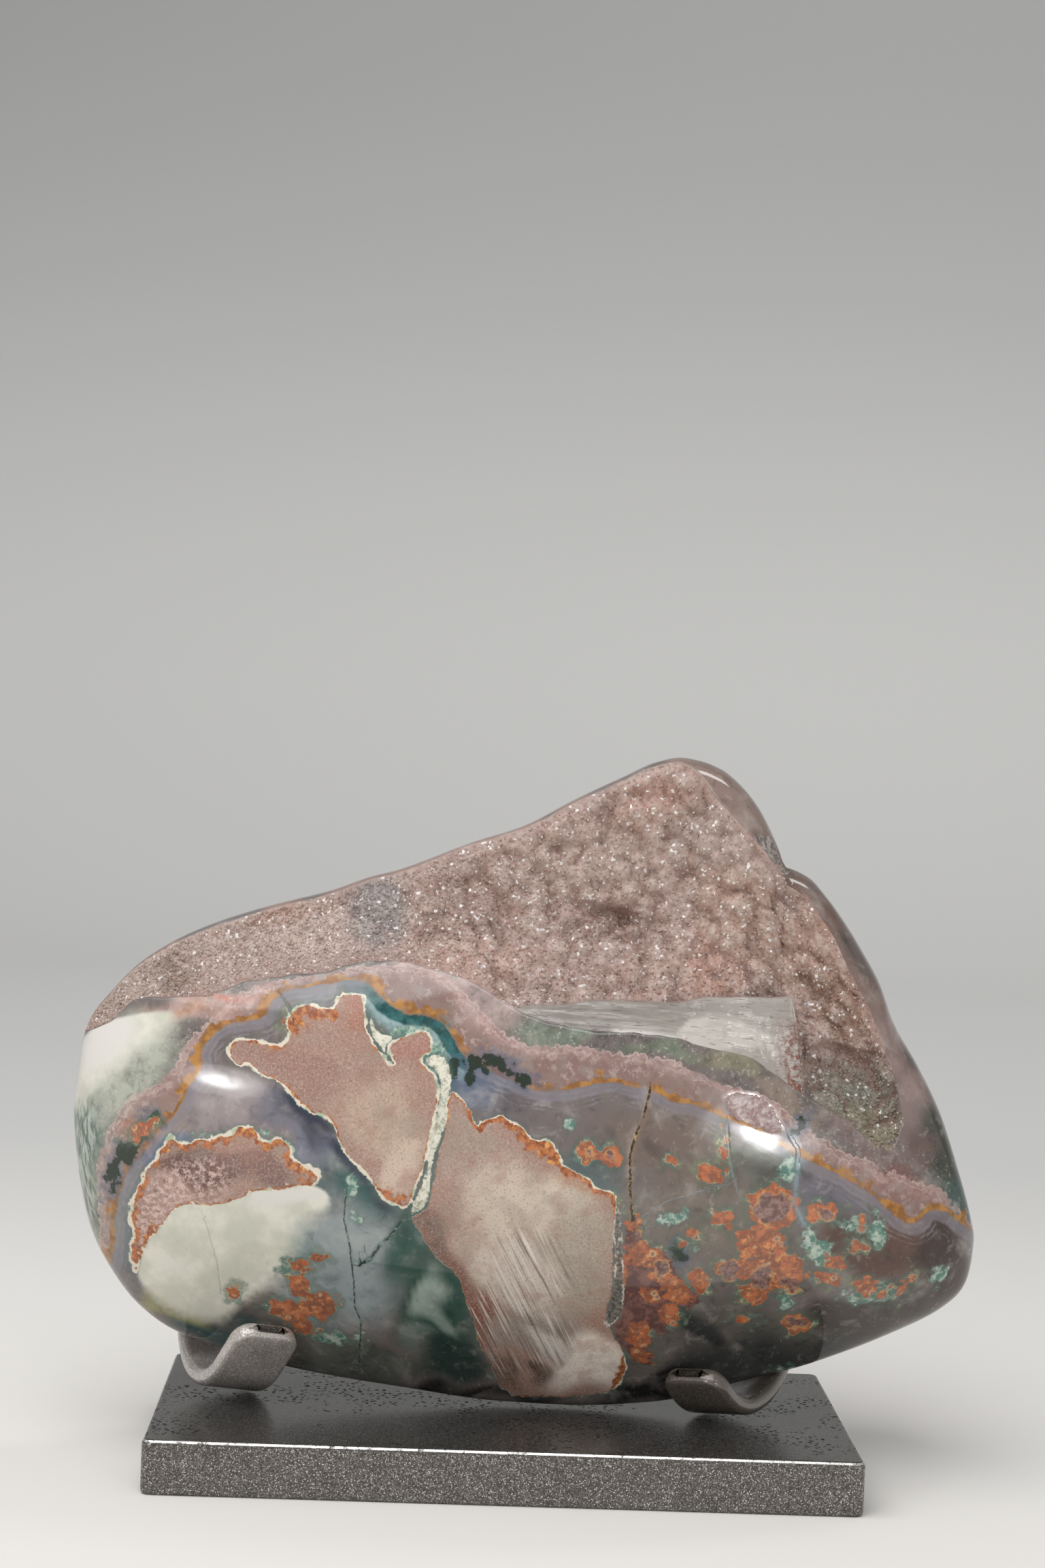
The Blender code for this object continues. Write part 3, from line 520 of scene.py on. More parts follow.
# The left cradle's coat is a lit copy: a lighter ground and flakes and more glints, all painted light
LEFT_LIT_COAT = dict(ground=(168, 160, 154), flake_tint=(240, 233, 225), glint_share=0.10, rough=0.26, coat=0.5)
# The right cradle's coat is a shaded copy: a darker ground and flakes, as painted shade
RIGHT_SHADED_COAT = dict(ground=(98, 90, 82), flake_tint=(124, 115, 106), glint_share=0.01, rough=0.20, coat=0.8)


def smooth_curve(points, at):
    """The value at each place in at, on a smooth curve through the points that never overshoots."""
    places = np.array([point[0] for point in points], float)
    values = np.array([point[1] for point in points], float)
    gaps = np.diff(places)
    rises = np.diff(values) / gaps
    slopes = np.zeros_like(values)
    slopes[0] = rises[0]
    slopes[-1] = rises[-1]
    steady = rises[:-1] * rises[1:] > 0
    near = (2 * gaps[1:] + gaps[:-1])[steady]
    far = (gaps[1:] + 2 * gaps[:-1])[steady]
    inner = np.zeros(len(rises) - 1)
    inner[steady] = (near + far) / (near / rises[:-1][steady] + far / rises[1:][steady])
    slopes[1:-1] = inner
    at = np.clip(at, places[0], places[-1])
    index = np.clip(np.searchsorted(places, at) - 1, 0, len(places) - 2)
    gap = gaps[index]
    t = (at - places[index]) / gap
    start = (1 + 2 * t) * (1 - t) ** 2 * values[index] + t * (1 - t) ** 2 * gap * slopes[index]
    end = t * t * (3 - 2 * t) * values[index + 1] + t * t * (t - 1) * gap * slopes[index + 1]
    return start + end


def turn(x):
    """The angle along the stone, 0 at its left end and pi at its right."""
    middle = (LEFT_END[0] + RIGHT_END[0]) / 2
    half = (RIGHT_END[0] - LEFT_END[0]) / 2
    return np.arccos(np.clip((middle - np.asarray(x, float)) / half, -1, 1))


def outline(points, x):
    """Height of an outline at x, with the round ends of the stone kept round."""
    return smooth_curve([(float(turn(point[0])), point[1]) for point in points], turn(x))


def crest(x):
    """Height of the top outline: the peak and the shoulder to the right of it, with a notch between."""
    peak = outline(CREST_PEAK, np.minimum(x, CREST_PEAK[-1][0]))
    shoulder = outline(CREST_SHOULDER, np.maximum(x, CREST_SHOULDER[0][0]))
    peak = np.where(x > CREST_PEAK[-1][0], 0.0, peak)
    shoulder = np.where(x < CREST_SHOULDER[0][0], 0.0, shoulder)
    return np.maximum(peak, shoulder)


def skin(x, angle):
    """Points of the polished skin. The angle runs round the slice, from the crest down the front."""
    x = np.asarray(x, float)
    high = crest(x)
    low = outline(UNDERSIDE, x)
    waist = outline(WAIST, x)
    swell = np.sin(turn(x)) ** END_POWER
    ahead = np.sin(angle)
    up = np.cos(angle)
    out = np.abs(ahead)
    half_deep = np.where(ahead > 0, FRONT_HALF, BACK_HALF) * swell
    upper_z = (high - waist) * np.abs(up) ** (2 / ROUND_HIGH)
    upper_out = out ** (2 / ROUND_HIGH)
    keel = np.where(ahead > 0, smooth_curve(KEEL_FRONT, x), smooth_curve(KEEL_BACK, x))
    lower_z = (low - waist) * np.abs(up) ** (2 / ROUND_BELOW_WAIST)
    round_off = np.sqrt(2 / ROUND_BELOW_WAIST * KEEL_RADIUS * np.maximum(waist - low, 0))
    round_off = out * up ** 2 * round_off / np.maximum(half_deep, KEEL_RADIUS)
    lower_out = (out ** (2 / keel * KEEL_BLEND) + round_off ** KEEL_BLEND) ** (1 / KEEL_BLEND)
    above = np.where(up > 0, upper_z, 0.0)
    lean = LEAN * swell * above ** 2 / (above + LEAN_SOFT)
    z = waist + np.where(up > 0, upper_z, lower_z)
    reach = half_deep * np.sign(ahead) * np.where(up > 0, upper_out, lower_out)
    y = MIDDLE_Y + SWING * x - reach + lean
    return np.stack([x + 0 * z, y, z], -1)


def angle_at(x, z):
    """The angle round the slice at which the front of the skin has this height."""
    waist = outline(WAIST, x)
    share = np.clip((z - waist) / (crest(x) - waist), 0, 1)
    return np.arccos(share ** (ROUND_HIGH / 2))


def wiggle(x, size, seed):
    """A small natural waver along x, the sum of three waves."""
    long_wave = np.sin(x / 7.3 + seed)
    middle_wave = 0.7 * np.sin(x / 3.1 + 2.1 * seed)
    short_wave = 0.4 * np.sin(x / 1.37 + 3.7 * seed)
    return size * (long_wave + middle_wave + short_wave) / 2.1


def face_edges(x):
    """The angles of the ledge and the rim of the open face at x."""
    inside = np.clip(x, FACE_LEFT, FACE_RIGHT)
    ledge = angle_at(inside, outline(LEDGE, inside) + wiggle(inside, 0.7, 1.0))
    rim = np.radians(smooth_curve(RIM, inside))
    return ledge, np.minimum(rim, ledge - FACE_LEAST)


def face_curve(low, high, shares):
    """Points across the open face from the ledge to the rim, hollowed inward."""
    chord = high - low
    wide = np.hypot(chord[..., 1], chord[..., 2])[..., None]
    inward = np.stack([0 * chord[..., 0], chord[..., 2], -chord[..., 1]], -1) / wide
    sag = FACE_SAG * wide * np.sin(np.pi * shares ** FACE_SAG_LEAN)[..., None]
    return low + chord * shares[..., None] + inward * sag, inward


def evenly(path, count):
    """The same path at this many points, evenly spaced."""
    lengths = np.hypot(*(np.diff(path, axis=0).T[1:]))
    far = np.concatenate([[0], np.cumsum(lengths)])
    at = np.linspace(0, far[-1], count)
    return np.stack([np.interp(at, far, path[:, i]) for i in range(3)], -1)


def smoothstep(low, high, value):
    """0 at low, 1 at high, and smooth between. High may be the smaller one."""
    t = np.clip((value - low) / (high - low), 0, 1)
    return t * t * (3 - 2 * t)


def camera_axes():
    """Right, up and forward of the camera."""
    yaw, pitch, roll = CAMERA_YAW, CAMERA_PITCH, CAMERA_ROLL
    forward = np.array((np.sin(yaw) * np.cos(pitch), np.cos(yaw) * np.cos(pitch), -np.sin(pitch)))
    level = np.array((np.cos(yaw), -np.sin(yaw), 0.0))
    upright = np.cross(level, forward)
    right = np.cos(roll) * level + np.sin(roll) * upright
    up = -np.sin(roll) * level + np.cos(roll) * upright
    return right, up, forward


def front_picture(points):
    """Where points, in millimetres, show in the picture, in its pixels."""
    right, up, forward = camera_axes()
    seen = points - CAMERA_PLACE
    far = seen @ forward
    focus = LENS / SENSOR * PICTURE_HIGH
    return PICTURE_WIDE / 2 + focus * (seen @ right) / far, PICTURE_HIGH / 2 - focus * (seen @ up) / far


def back_picture(points):
    """The same for the back, as a straight view of it at the same scale."""
    across = PICTURE_WIDE / 2 - PIXELS_PER_MM * (points[..., 0] - ORIGIN[0])
    return across, BACK_GROUND - PIXELS_PER_MM * points[..., 2]


def rounded(points):
    """A closed outline with its corners cut once."""
    points = np.array(points, float)
    following = np.roll(points, -1, axis=0)
    return np.stack([0.75 * points + 0.25 * following, 0.25 * points + 0.75 * following], 1).reshape(-1, 2)


def inside_by(u, v, points):
    """Distance in millimetres to a closed outline, negative inside it."""
    points = rounded(points)
    best = np.full(u.shape, 1e9)
    crossed = np.zeros(u.shape, bool)
    for (ax, ay), (bx, by) in zip(points, np.roll(points, -1, axis=0)):
        dx, dy = bx - ax, by - ay
        t = np.clip(((u - ax) * dx + (v - ay) * dy) / (dx * dx + dy * dy + 1e-9), 0, 1)
        best = np.minimum(best, (u - ax - t * dx) ** 2 + (v - ay - t * dy) ** 2)
        if ay != by:
            spans = (v < ay) != (v < by)
            crossed ^= spans & (u < ax + (v - ay) * dx / dy)
    return np.sqrt(best) / PIXELS_PER_MM * np.where(crossed, -1.0, 1.0)


def beside(u, v, points):
    """Distance in millimetres to a line of straight stretches, and the side of it, 1 or -1."""
    best = np.full(u.shape, 1e9)
    side = np.ones(u.shape)
    for (ax, ay), (bx, by) in zip(points, points[1:]):
        dx, dy = bx - ax, by - ay
        t = np.clip(((u - ax) * dx + (v - ay) * dy) / (dx * dx + dy * dy), 0, 1)
        away = np.hypot(u - ax - t * dx, v - ay - t * dy)
        closer = away < best
        best = np.where(closer, away, best)
        side = np.where(closer, np.where(dx * (v - ay) - dy * (u - ax) < 0, -1.0, 1.0), side)
    return best / PIXELS_PER_MM, side


def oval_reach(u, v, middle, sizes, degrees):
    """How far a place is from the middle of an oval, 1 on its edge."""
    angle = math.radians(degrees)
    across = (u - middle[0]) * math.cos(angle) + (v - middle[1]) * math.sin(angle)
    down = -(u - middle[0]) * math.sin(angle) + (v - middle[1]) * math.cos(angle)
    return np.hypot(across / sizes[0], down / sizes[1])


def spots_distance(u, v, spots):
    """Distance in millimetres to the nearest of some ovals, negative inside."""
    best = np.full(u.shape, 60.0)
    for at_u, at_v, wide, high, degrees in spots:
        reach = oval_reach(u, v, (at_u, at_v), (wide, high), degrees)
        best = np.minimum(best, (reach - 1) * min(wide, high) / PIXELS_PER_MM)
    return best


def colour(red, green, blue):
    """A display colour from 0 to 255, as linear light."""
    values = np.array((red, green, blue), float) / 255
    return np.where(values <= 0.04045, values / 12.92, ((values + 0.055) / 1.055) ** 2.4)


def washed(u, v, ground, washes):
    """The colour at each place: the ground, with each soft oval wash laid over it in turn."""
    result = np.tile(colour(*ground), (u.size, 1))
    for middle, sizes, degrees, tint, strength in washes:
        share = strength * smoothstep(1.25, 0.55, oval_reach(u, v, middle, sizes, degrees))
        result += share[:, None] * (colour(*tint) - result)
    return result


def make_mesh(name, points, faces, smooth=True):
    """A mesh object from points in millimetres and lists of corners."""
    data = bpy.data.meshes.new(name)
    data.from_pydata(((points - ORIGIN) * MM).tolist(), [], faces)
    data.polygons.foreach_set("use_smooth", [smooth] * len(data.polygons))
    data.update()
    item = bpy.data.objects.new(name, data)
    bpy.context.scene.collection.objects.link(item)
    return item


def give_number(item, name, values):
    """Put a number on each of a mesh's points, under this name."""
    layer = item.data.attributes.new(name, "FLOAT", "POINT")
    layer.data.foreach_set("value", np.asarray(values, np.float32).ravel())


def give_colour(item, name, values):
    """Put a colour on each of a mesh's points, under this name."""
    layer = item.data.attributes.new(name, "FLOAT_COLOR", "POINT")
    filled = np.ones((len(values), 4), np.float32)
    filled[:, :3] = values
    layer.data.foreach_set("color", filled.ravel())


def ring_faces(rings, around, closed=True, flip=False):
    """Quads between rings of points, each ring's points numbered in a row."""
    i, j = np.meshgrid(np.arange(rings - 1), np.arange(around if closed else around - 1), indexing="ij")
    k = (j + 1) % around
    quads = np.stack([i * around + j, i * around + k, (i + 1) * around + k, (i + 1) * around + j], -1)
    quads = quads.reshape(-1, 4)
    return (quads[:, ::-1] if flip else quads).tolist()


def grid_normals(grid, closed=True):
    """Outward directions of a grid of points (rings, around, 3)."""
    along = np.gradient(grid, axis=0)
    if closed:
        around = np.roll(grid, -1, axis=1) - np.roll(grid, 1, axis=1)
    else:
        around = np.gradient(grid, axis=1)
    normals = np.cross(around, along)
    return normals / np.maximum(np.linalg.norm(normals, axis=-1, keepdims=True), 1e-9)


class Paint:
    """The nodes of one material. Each method adds a node and gives back what comes out of it."""

    def __init__(self, name):
        self.material = bpy.data.materials.new(name)
        self.material.use_nodes = True
        self.tree = self.material.node_tree
        self.shader = self.tree.nodes["Principled BSDF"]
        self.place = self.node("ShaderNodeTexCoord").outputs["Object"]

    def node(self, kind, **settings):
        made = self.tree.nodes.new(kind)
        for name, value in settings.items():
            setattr(made, name, value)
        return made

    def put(self, socket, value):
        """Link a value to a socket, or set it if it is plain. A tuple is a display colour."""
        if isinstance(value, bpy.types.NodeSocket):
            self.tree.links.new(value, socket)
        elif isinstance(value, tuple):
            socket.default_value = (*colour(*value), 1.0)
        else:
            socket.default_value = value

    def number(self, name):
        return self.node("ShaderNodeAttribute", attribute_name=name).outputs["Fac"]

    def tint(self, name):
        return self.node("ShaderNodeAttribute", attribute_name=name).outputs["Color"]

    def normal(self):
        return self.node("ShaderNodeNewGeometry").outputs["Normal"]

    def parts(self, value, kind="Color"):
        """The three numbers of a colour, or with kind XYZ of a place or a direction."""
        made = self.node("ShaderNodeSeparate" + kind)
        self.put(made.inputs[0], value)
        return list(made.outputs)

    def drawn(self, stretch, degrees=(0, 0, 0)):
        """The place, so that what is painted by it is drawn out along axes turned by these angles."""
        mapping = self.node("ShaderNodeMapping", vector_type="TEXTURE")
        self.tree.links.new(self.place, mapping.inputs["Vector"])
        mapping.inputs["Rotation"].default_value = [math.radians(d) for d in degrees]
        mapping.inputs["Scale"].default_value = stretch
        return mapping.outputs["Vector"]

    def bent(self, size, amount):
        """The place, pushed about by noise of this size, this many millimetres."""
        made = self.node("ShaderNodeTexNoise")
        self.put(made.inputs["Vector"], self.place)
        made.inputs["Scale"].default_value = 1 / (size * MM)
        made.inputs["Detail"].default_value = 3.0
        return self.vector("MULTIPLY_ADD", made.outputs["Color"], [amount * MM] * 3, self.place)

    def noise(self, size, detail=3.0, rough=0.55, seed=0.0, place=None, twist=0.0):
        """Noise about 0.5, with bumps of this size in millimetres."""
        made = self.node("ShaderNodeTexNoise", noise_dimensions="4D")
        self.put(made.inputs["Vector"], place or self.place)
        made.inputs["W"].default_value = seed
        made.inputs["Scale"].default_value = 1 / (size * MM)
        made.inputs["Detail"].default_value = detail
        made.inputs["Roughness"].default_value = rough
        made.inputs["Distortion"].default_value = twist
        return made.outputs["Fac"]

    def cells(self, size, out="Color", place=None):
        """Cells of this size in millimetres: a random colour for each, or the distance to its middle."""
        made = self.node("ShaderNodeTexVoronoi")
        self.put(made.inputs["Vector"], place or self.place)
        made.inputs["Scale"].default_value = 1 / (size * MM)
        return made.outputs[out]

    def math(self, kind, *values):
        made = self.node("ShaderNodeMath", operation=kind)
        for socket, value in zip(made.inputs, values):
            self.put(socket, value)
        return made.outputs[0]

    def vector(self, kind, *values):
        made = self.node("ShaderNodeVectorMath", operation=kind)
        for socket, value in zip(made.inputs, values):
            self.put(socket, value)
        return made.outputs[0]

    def add(self, *values):
        total = values[0]
        for value in values[1:]:
            total = self.math("ADD", total, value)
        return total

    def times(self, *values):
        total = values[0]
        for value in values[1:]:
            total = self.math("MULTIPLY", total, value)
        return total

    def centred(self, noise, amount):
        """A noise made to swing about 0 by this amount in all."""
        return self.math("MULTIPLY_ADD", noise, amount, -0.5 * amount)

    def step(self, value, low, high, top=1.0):
        """0 at low, top at high, and smooth between. High may be the smaller one."""
        made = self.node("ShaderNodeMapRange", interpolation_type="SMOOTHSTEP")
        self.put(made.inputs["Value"], value)
        flip = low > high
        made.inputs["From Min"].default_value = min(low, high)
        made.inputs["From Max"].default_value = max(low, high)
        made.inputs["To Min"].default_value = top if flip else 0.0
        made.inputs["To Max"].default_value = 0.0 if flip else top
        return made.outputs["Result"]

    def band(self, value, low, high, soft, top=1.0):
        """Top between low and high, fading out over soft on each side."""
        rise = self.step(value, low - soft, low, top)
        fall = self.step(value, high + soft, high)
        return self.times(rise, fall)

    def mix(self, share, below, above, kind="MIX"):
        made = self.node("ShaderNodeMix", data_type="RGBA", blend_type=kind)
        self.put(made.inputs[0], share)
        self.put(made.inputs[6], below)
        self.put(made.inputs[7], above)
        return made.outputs[2]

    def blend(self, value, low, high, below, above):
        """One colour where the value is low, passing into the other where it is high."""
        return self.mix(self.step(value, low, high), below, above)

    def mottled(self, base, *patches, within=None):
        """The base with patches of other colours where noises are high. A patch is its noise (size, detail,
        roughness, seed), the step over it (low, high, top) and its colour."""
        for (size, detail, rough, seed), ends, tint in patches:
            share = self.step(self.noise(size, detail, rough, seed), *ends)
            if within is not None:
                share = self.times(within, share)
            base = self.mix(share, base, tint)
        return base

    def bump(self, height, distance):
        """A bump whose full height is this many millimetres."""
        made = self.node("ShaderNodeBump")
        made.inputs["Strength"].default_value = 1.0
        made.inputs["Distance"].default_value = distance * MM
        self.put(made.inputs["Height"], height)
        return made.outputs["Normal"]

    def finish(self, **sockets):
        for name, value in sockets.items():
            self.put(self.shader.inputs[name.replace("_", " ")], value)
        return self.material


class StonePaint(Paint):
    """The paint of the polished stone: what is painted so far, and the noises that its markings share."""

    def __init__(self, name):
        super().__init__(name)
        self.broad = self.centred(self.noise(9.0, 2, seed=1), 5.0)
        self.middling = self.centred(self.noise(4.0, 4, 0.6, seed=2), 6.0)
        self.fine = self.centred(self.noise(1.2, 3, 0.6, seed=3), 2.6)
        self.lobes = self.centred(self.cells(3.8, "Distance", place=self.bent(2.5, 1.4)), 2.8)
        self.ragged = self.add(self.times(self.middling, 0.6), self.fine, self.lobes)
        self.patchy = self.noise(6.0, 3, 0.6, seed=40)
        self.cloud = self.noise(16.0, 6, 0.6, seed=4, twist=0.6)
        self.wisps = self.noise(6.0, 6, 0.65, seed=6, twist=1.0)
        self.grain = self.noise(0.7, 3, 0.65, seed=5)
        self.feather = self.noise(1.5, 4, 0.7, seed=9)
        self.base = self.tint("ground")

    def lay(self, share, tint, kind="MIX"):
        """Lay a colour over what is painted so far."""
        self.base = self.mix(share, self.base, tint, kind)

    def wavered(self, name, ragged=0.0, middling=0.0, fine=0.0):
        """A marking's distance, its edge wavered by these shares of the noises."""
        value = self.number(name)
        for noise, amount in ((self.ragged, ragged), (self.middling, middling), (self.fine, fine)):
            if amount:
                value = self.add(value, self.times(noise, amount))
        return value


def paint_agate(p):
    """Soft clouds, darker wisps and light flecks over the washes."""
    p.lay(p.step(p.cloud, 0.48, 0.70, 0.75), (186, 184, 186), "MULTIPLY")
    p.lay(p.step(p.cloud, 0.47, 0.30, 0.22), (214, 208, 200))
    p.lay(p.step(p.wisps, 0.54, 0.70, 0.60), (178, 186, 190), "MULTIPLY")
    p.lay(p.step(p.wisps, 0.45, 0.32, 0.16), (220, 214, 202))
    p.base = p.mottled(p.base, ((2.2, 5, 0.7, 7), (0.62, 0.74, 0.22), (206, 204, 198)),
                       ((1.1, 3, 0.7, 29), (0.68, 0.74, 0.35), (60, 56, 54)))


def paint_bands(p):
    """Bands below the ochre line, and teal and pale blue arcs over the jasper. Gives the line's distance."""
    line = p.add(p.number("line"), p.times(p.broad, 0.55), p.times(p.middling, 0.22), p.times(p.fine, 0.30))
    bands = p.math("SINE", p.times(p.add(line, p.times(p.middling, 0.3)), 3.1))
    under = p.times(p.band(line, -7.0, -0.4, 2.0, 0.26), p.step(p.patchy, 0.42, 0.62))
    p.lay(p.times(under, p.step(bands, -0.4, 1.0)), (168, 168, 176))
    p.lay(p.band(line, -3.4, -0.8, 1.6, 0.5), (138, 132, 140))
    arc = p.number("arc")
    p.lay(p.times(arc, p.band(line, -7.6, -4.6, 1.6)), p.mix(p.feather, (104, 144, 148), (186, 200, 196)))
    p.lay(p.times(arc, p.band(line, -4.2, -1.0, 1.0)),
          p.blend(p.wisps, 0.40, 0.62, (22, 70, 70), (58, 108, 108)))
    return line


def paint_pink_band(p, line):
    """The pink band between the ochre line and its scalloped, lacy edge, and the quartz beyond it."""
    teeth = p.times(p.cells(2.4, "Distance", place=p.bent(1.6, 1.0)), 2.6)
    pink = p.add(p.number("pink"), teeth, p.times(p.middling, 0.45), p.times(p.fine, 0.35), -1.1)
    rose = p.blend(pink, -6.5, -1.5, (150, 122, 112), (186, 154, 147))
    rose = p.mottled(rose, ((5.0, 5, 0.7, 10), (0.46, 0.58, 0.75), (144, 106, 99)),
                     ((3.4, 5, 0.7, 30), (0.52, 0.62, 0.65), (208, 182, 175)),
                     ((8.0, 4, 0.6, 55), (0.50, 0.62, 0.50), (166, 154, 148)))
    rose = p.mix(0.28, rose, p.tint("ground"))
    p.lay(p.times(p.step(line, 0.2, 2.2), p.step(pink, 0.9, -0.5, 0.94)), rose)
    lace = p.add(p.band(pink, -0.2, 0.1, 0.3, 0.5), p.band(pink, -2.2, -1.9, 0.3, 0.35))
    p.lay(p.times(p.step(line, 0.6, 2.6), lace, p.step(p.patchy, 0.36, 0.56)), (212, 194, 186))
    # Crystalline quartz, green and grey with pale needles
    beyond = p.band(pink, 1.6, 11.0, 1.6)
    darker = p.step(p.noise(4.0, 5, 0.65, seed=12), 0.48, 0.66, 0.7)
    p.lay(p.times(beyond, darker), (200, 208, 200), "MULTIPLY")
    p.base = p.mottled(p.base, ((1.3, 4, 0.7, 11), (0.54, 0.70, 0.5), (208, 208, 198)), within=beyond)
    needles = p.noise(1.4, 3, 0.6, seed=46, place=p.drawn((1.0, 1.0, 5.0), (0, -12, 0)))
    streaked = p.number("edge_streak")
    p.lay(p.times(streaked, p.step(needles, 0.42, 0.60, 0.75)), (192, 198, 186))
    p.lay(p.times(streaked, p.step(needles, 0.50, 0.36, 0.8)), (78, 100, 88))


def paint_ochre_line(p, line):
    """The ochre line, broad in some places and gone in others."""
    swell = p.times(line, p.step(p.patchy, 0.62, 0.38, 1.5))
    shown = p.times(p.band(p.add(swell, p.times(line, 0.5)), 0.1, 1.5, 1.0, 0.95),
                    p.step(p.noise(11.0, 2, seed=33), 0.28, 0.50))
    p.lay(shown, p.blend(p.noise(4.0, 4, seed=13), 0.4, 0.6, (142, 94, 44), (182, 130, 66)))


def paint_white(p):
    """White calcite, fading into the agate."""
    chalk = p.blend(p.noise(12.0, 4, 0.6, seed=14), 0.38, 0.62, (224, 221, 208), (204, 203, 187))
    chalk = p.mottled(chalk, ((3.0, 5, 0.65, 15), (0.56, 0.74, 0.35), (172, 182, 160)))
    chalk = p.mix(p.number("bright"), chalk, (221, 217, 210))
    p.lay(p.step(p.wavered("white", middling=0.07, fine=0.05), 0.12, 0.88), chalk)


def paint_growths(p):
    """Green, teal and black growths in soft halos."""
    mint = p.wavered("mint", ragged=1.3)
    p.lay(p.step(mint, 2.0, -0.2, 0.38), (84, 108, 98))
    p.lay(p.step(mint, 0.5, -0.9, 0.85),
          p.blend(p.noise(2.2, 4, 0.7, seed=16), 0.42, 0.60, (84, 130, 116), (192, 206, 190)))
    dark = p.wavered("dark", ragged=1.5)
    p.lay(p.step(dark, 3.6, 0.4, 0.55), (80, 96, 118))
    p.lay(p.step(dark, 0.5, -0.3, 0.95), p.mix(p.feather, (10, 22, 20), (44, 60, 38)))


def paint_maroon(p):
    """The wine-brown patch beside the jasper. Gives the share of what is outside it."""
    maroon = p.wavered("maroon", ragged=0.9)
    wine = p.blend(p.noise(5.0, 5, 0.65, seed=25), 0.44, 0.60, (98, 70, 66), (134, 98, 88))
    wine = p.mottled(wine, ((2.0, 5, 0.7, 26), (0.56, 0.66, 0.7), (176, 108, 74)),
                     ((1.6, 4, 0.7, 54), (0.60, 0.70, 0.4), (84, 64, 58)))
    p.lay(p.step(maroon, 0.2, -0.3), wine)
    return p.step(maroon, -0.3, 0.3)


def paint_orange_spots(p, outside):
    """Orange spots, with thin pale rims and green halos outside the wine-brown patch, and mauve cores."""
    spot = p.wavered("orange", ragged=1.25)
    p.lay(p.times(outside, p.step(spot, 3.2, 0.4, 0.5)), (88, 102, 88))
    p.lay(p.times(outside, p.band(spot, 0.1, 1.2, 0.5, 0.5), p.step(p.patchy, 0.48, 0.60)),
          p.blend(p.cloud, 0.45, 0.58, (136, 138, 104), (104, 136, 124)))
    pale_rim = p.band(spot, -0.1, 0.15, 0.25, 0.7)
    p.lay(p.times(outside, pale_rim, p.step(p.patchy, 0.46, 0.62)), (196, 188, 156))
    rust = p.blend(p.noise(5.0, 6, 0.7, seed=17), 0.44, 0.58, (140, 90, 70), (190, 116, 80))
    rust = p.mottled(rust, ((2.6, 5, 0.7, 18), (0.53, 0.62, 0.8), (122, 92, 80)),
                     ((2.8, 6, 0.75, 34), (0.53, 0.62, 0.85), (224, 152, 96)))
    knot = p.cells(4.6, "Distance", place=p.bent(2.0, 1.2))
    some = p.step(p.noise(9.0, 2, seed=58), 0.46, 0.56)
    rust = p.mix(p.times(some, p.step(knot, 0.38, 0.20, 0.8)), rust, (222, 184, 140))
    rust = p.mix(p.times(some, p.step(knot, 0.26, 0.12, 0.9)), rust, (140, 108, 98))
    rust = p.mix(p.band(spot, -0.9, -0.3, 0.4, 0.45), rust, (168, 92, 56))
    p.lay(p.step(spot, 0.1, -0.4), rust)
    core = p.wavered("core", ragged=0.9)
    p.lay(p.times(p.band(core, -0.1, 0.6, 0.4, 0.7), p.step(p.patchy, 0.40, 0.60)), (196, 150, 100))
    p.lay(p.step(core, 0.4, -0.6, 0.95),
          p.blend(p.noise(2.0, 5, 0.75, seed=56), 0.40, 0.60, (100, 74, 70), (150, 122, 114)))


def paint_cream_veins(p):
    """Cream veins in green halos."""
    cream = p.add(p.wavered("cream", middling=0.4, fine=0.8), 1.1)
    p.lay(p.step(cream, 2.2, 0.2, 0.6), (76, 104, 96))
    p.lay(p.step(cream, 0.3, -0.3),
          p.blend(p.noise(1.8, 5, 0.7, seed=19), 0.44, 0.66, (230, 225, 208), (150, 150, 126)))


def jasper_filling(p, depth, streak, lines):
    """The sandy fill of the jasper, with flecks, streaks and an orange rim."""
    filling = p.tint("filling")
    filling = p.mix(p.step(p.grain, 0.48, 0.68, 0.42), filling, (206, 190, 172))
    filling = p.mix(p.step(p.grain, 0.48, 0.32, 0.50), filling, (108, 84, 74))
    filling = p.mottled(filling, ((7.0, 5, 0.6, 20), (0.48, 0.66, 0.40), (158, 116, 100)),
                        ((11.0, 5, 0.6, 35), (0.50, 0.64, 0.35), (150, 138, 124)))
    filling = p.mottled(filling, ((2.0, 5, 0.75, 21), (0.46, 0.58, 0.85), (216, 188, 180)),
                        ((1.8, 4, 0.75, 47), (0.56, 0.66, 0.7), (116, 76, 70)), within=p.number("fleck"))
    filling = p.mix(p.times(streak, p.step(lines, 0.54, 0.66, 0.85)), filling, (226, 218, 208))
    filling = p.mix(p.times(streak, p.step(lines, 0.44, 0.32, 0.75)), filling, (104, 86, 76))
    amber = p.blend(p.noise(1.8, 5, 0.7, seed=24), 0.40, 0.60, (140, 78, 50), (192, 122, 74))
    amber = p.mottled(amber, ((3.2, 4, 0.6, 36), (0.54, 0.66), (222, 158, 88)))
    return p.mix(p.step(depth, -1.25, -0.6), filling, amber)


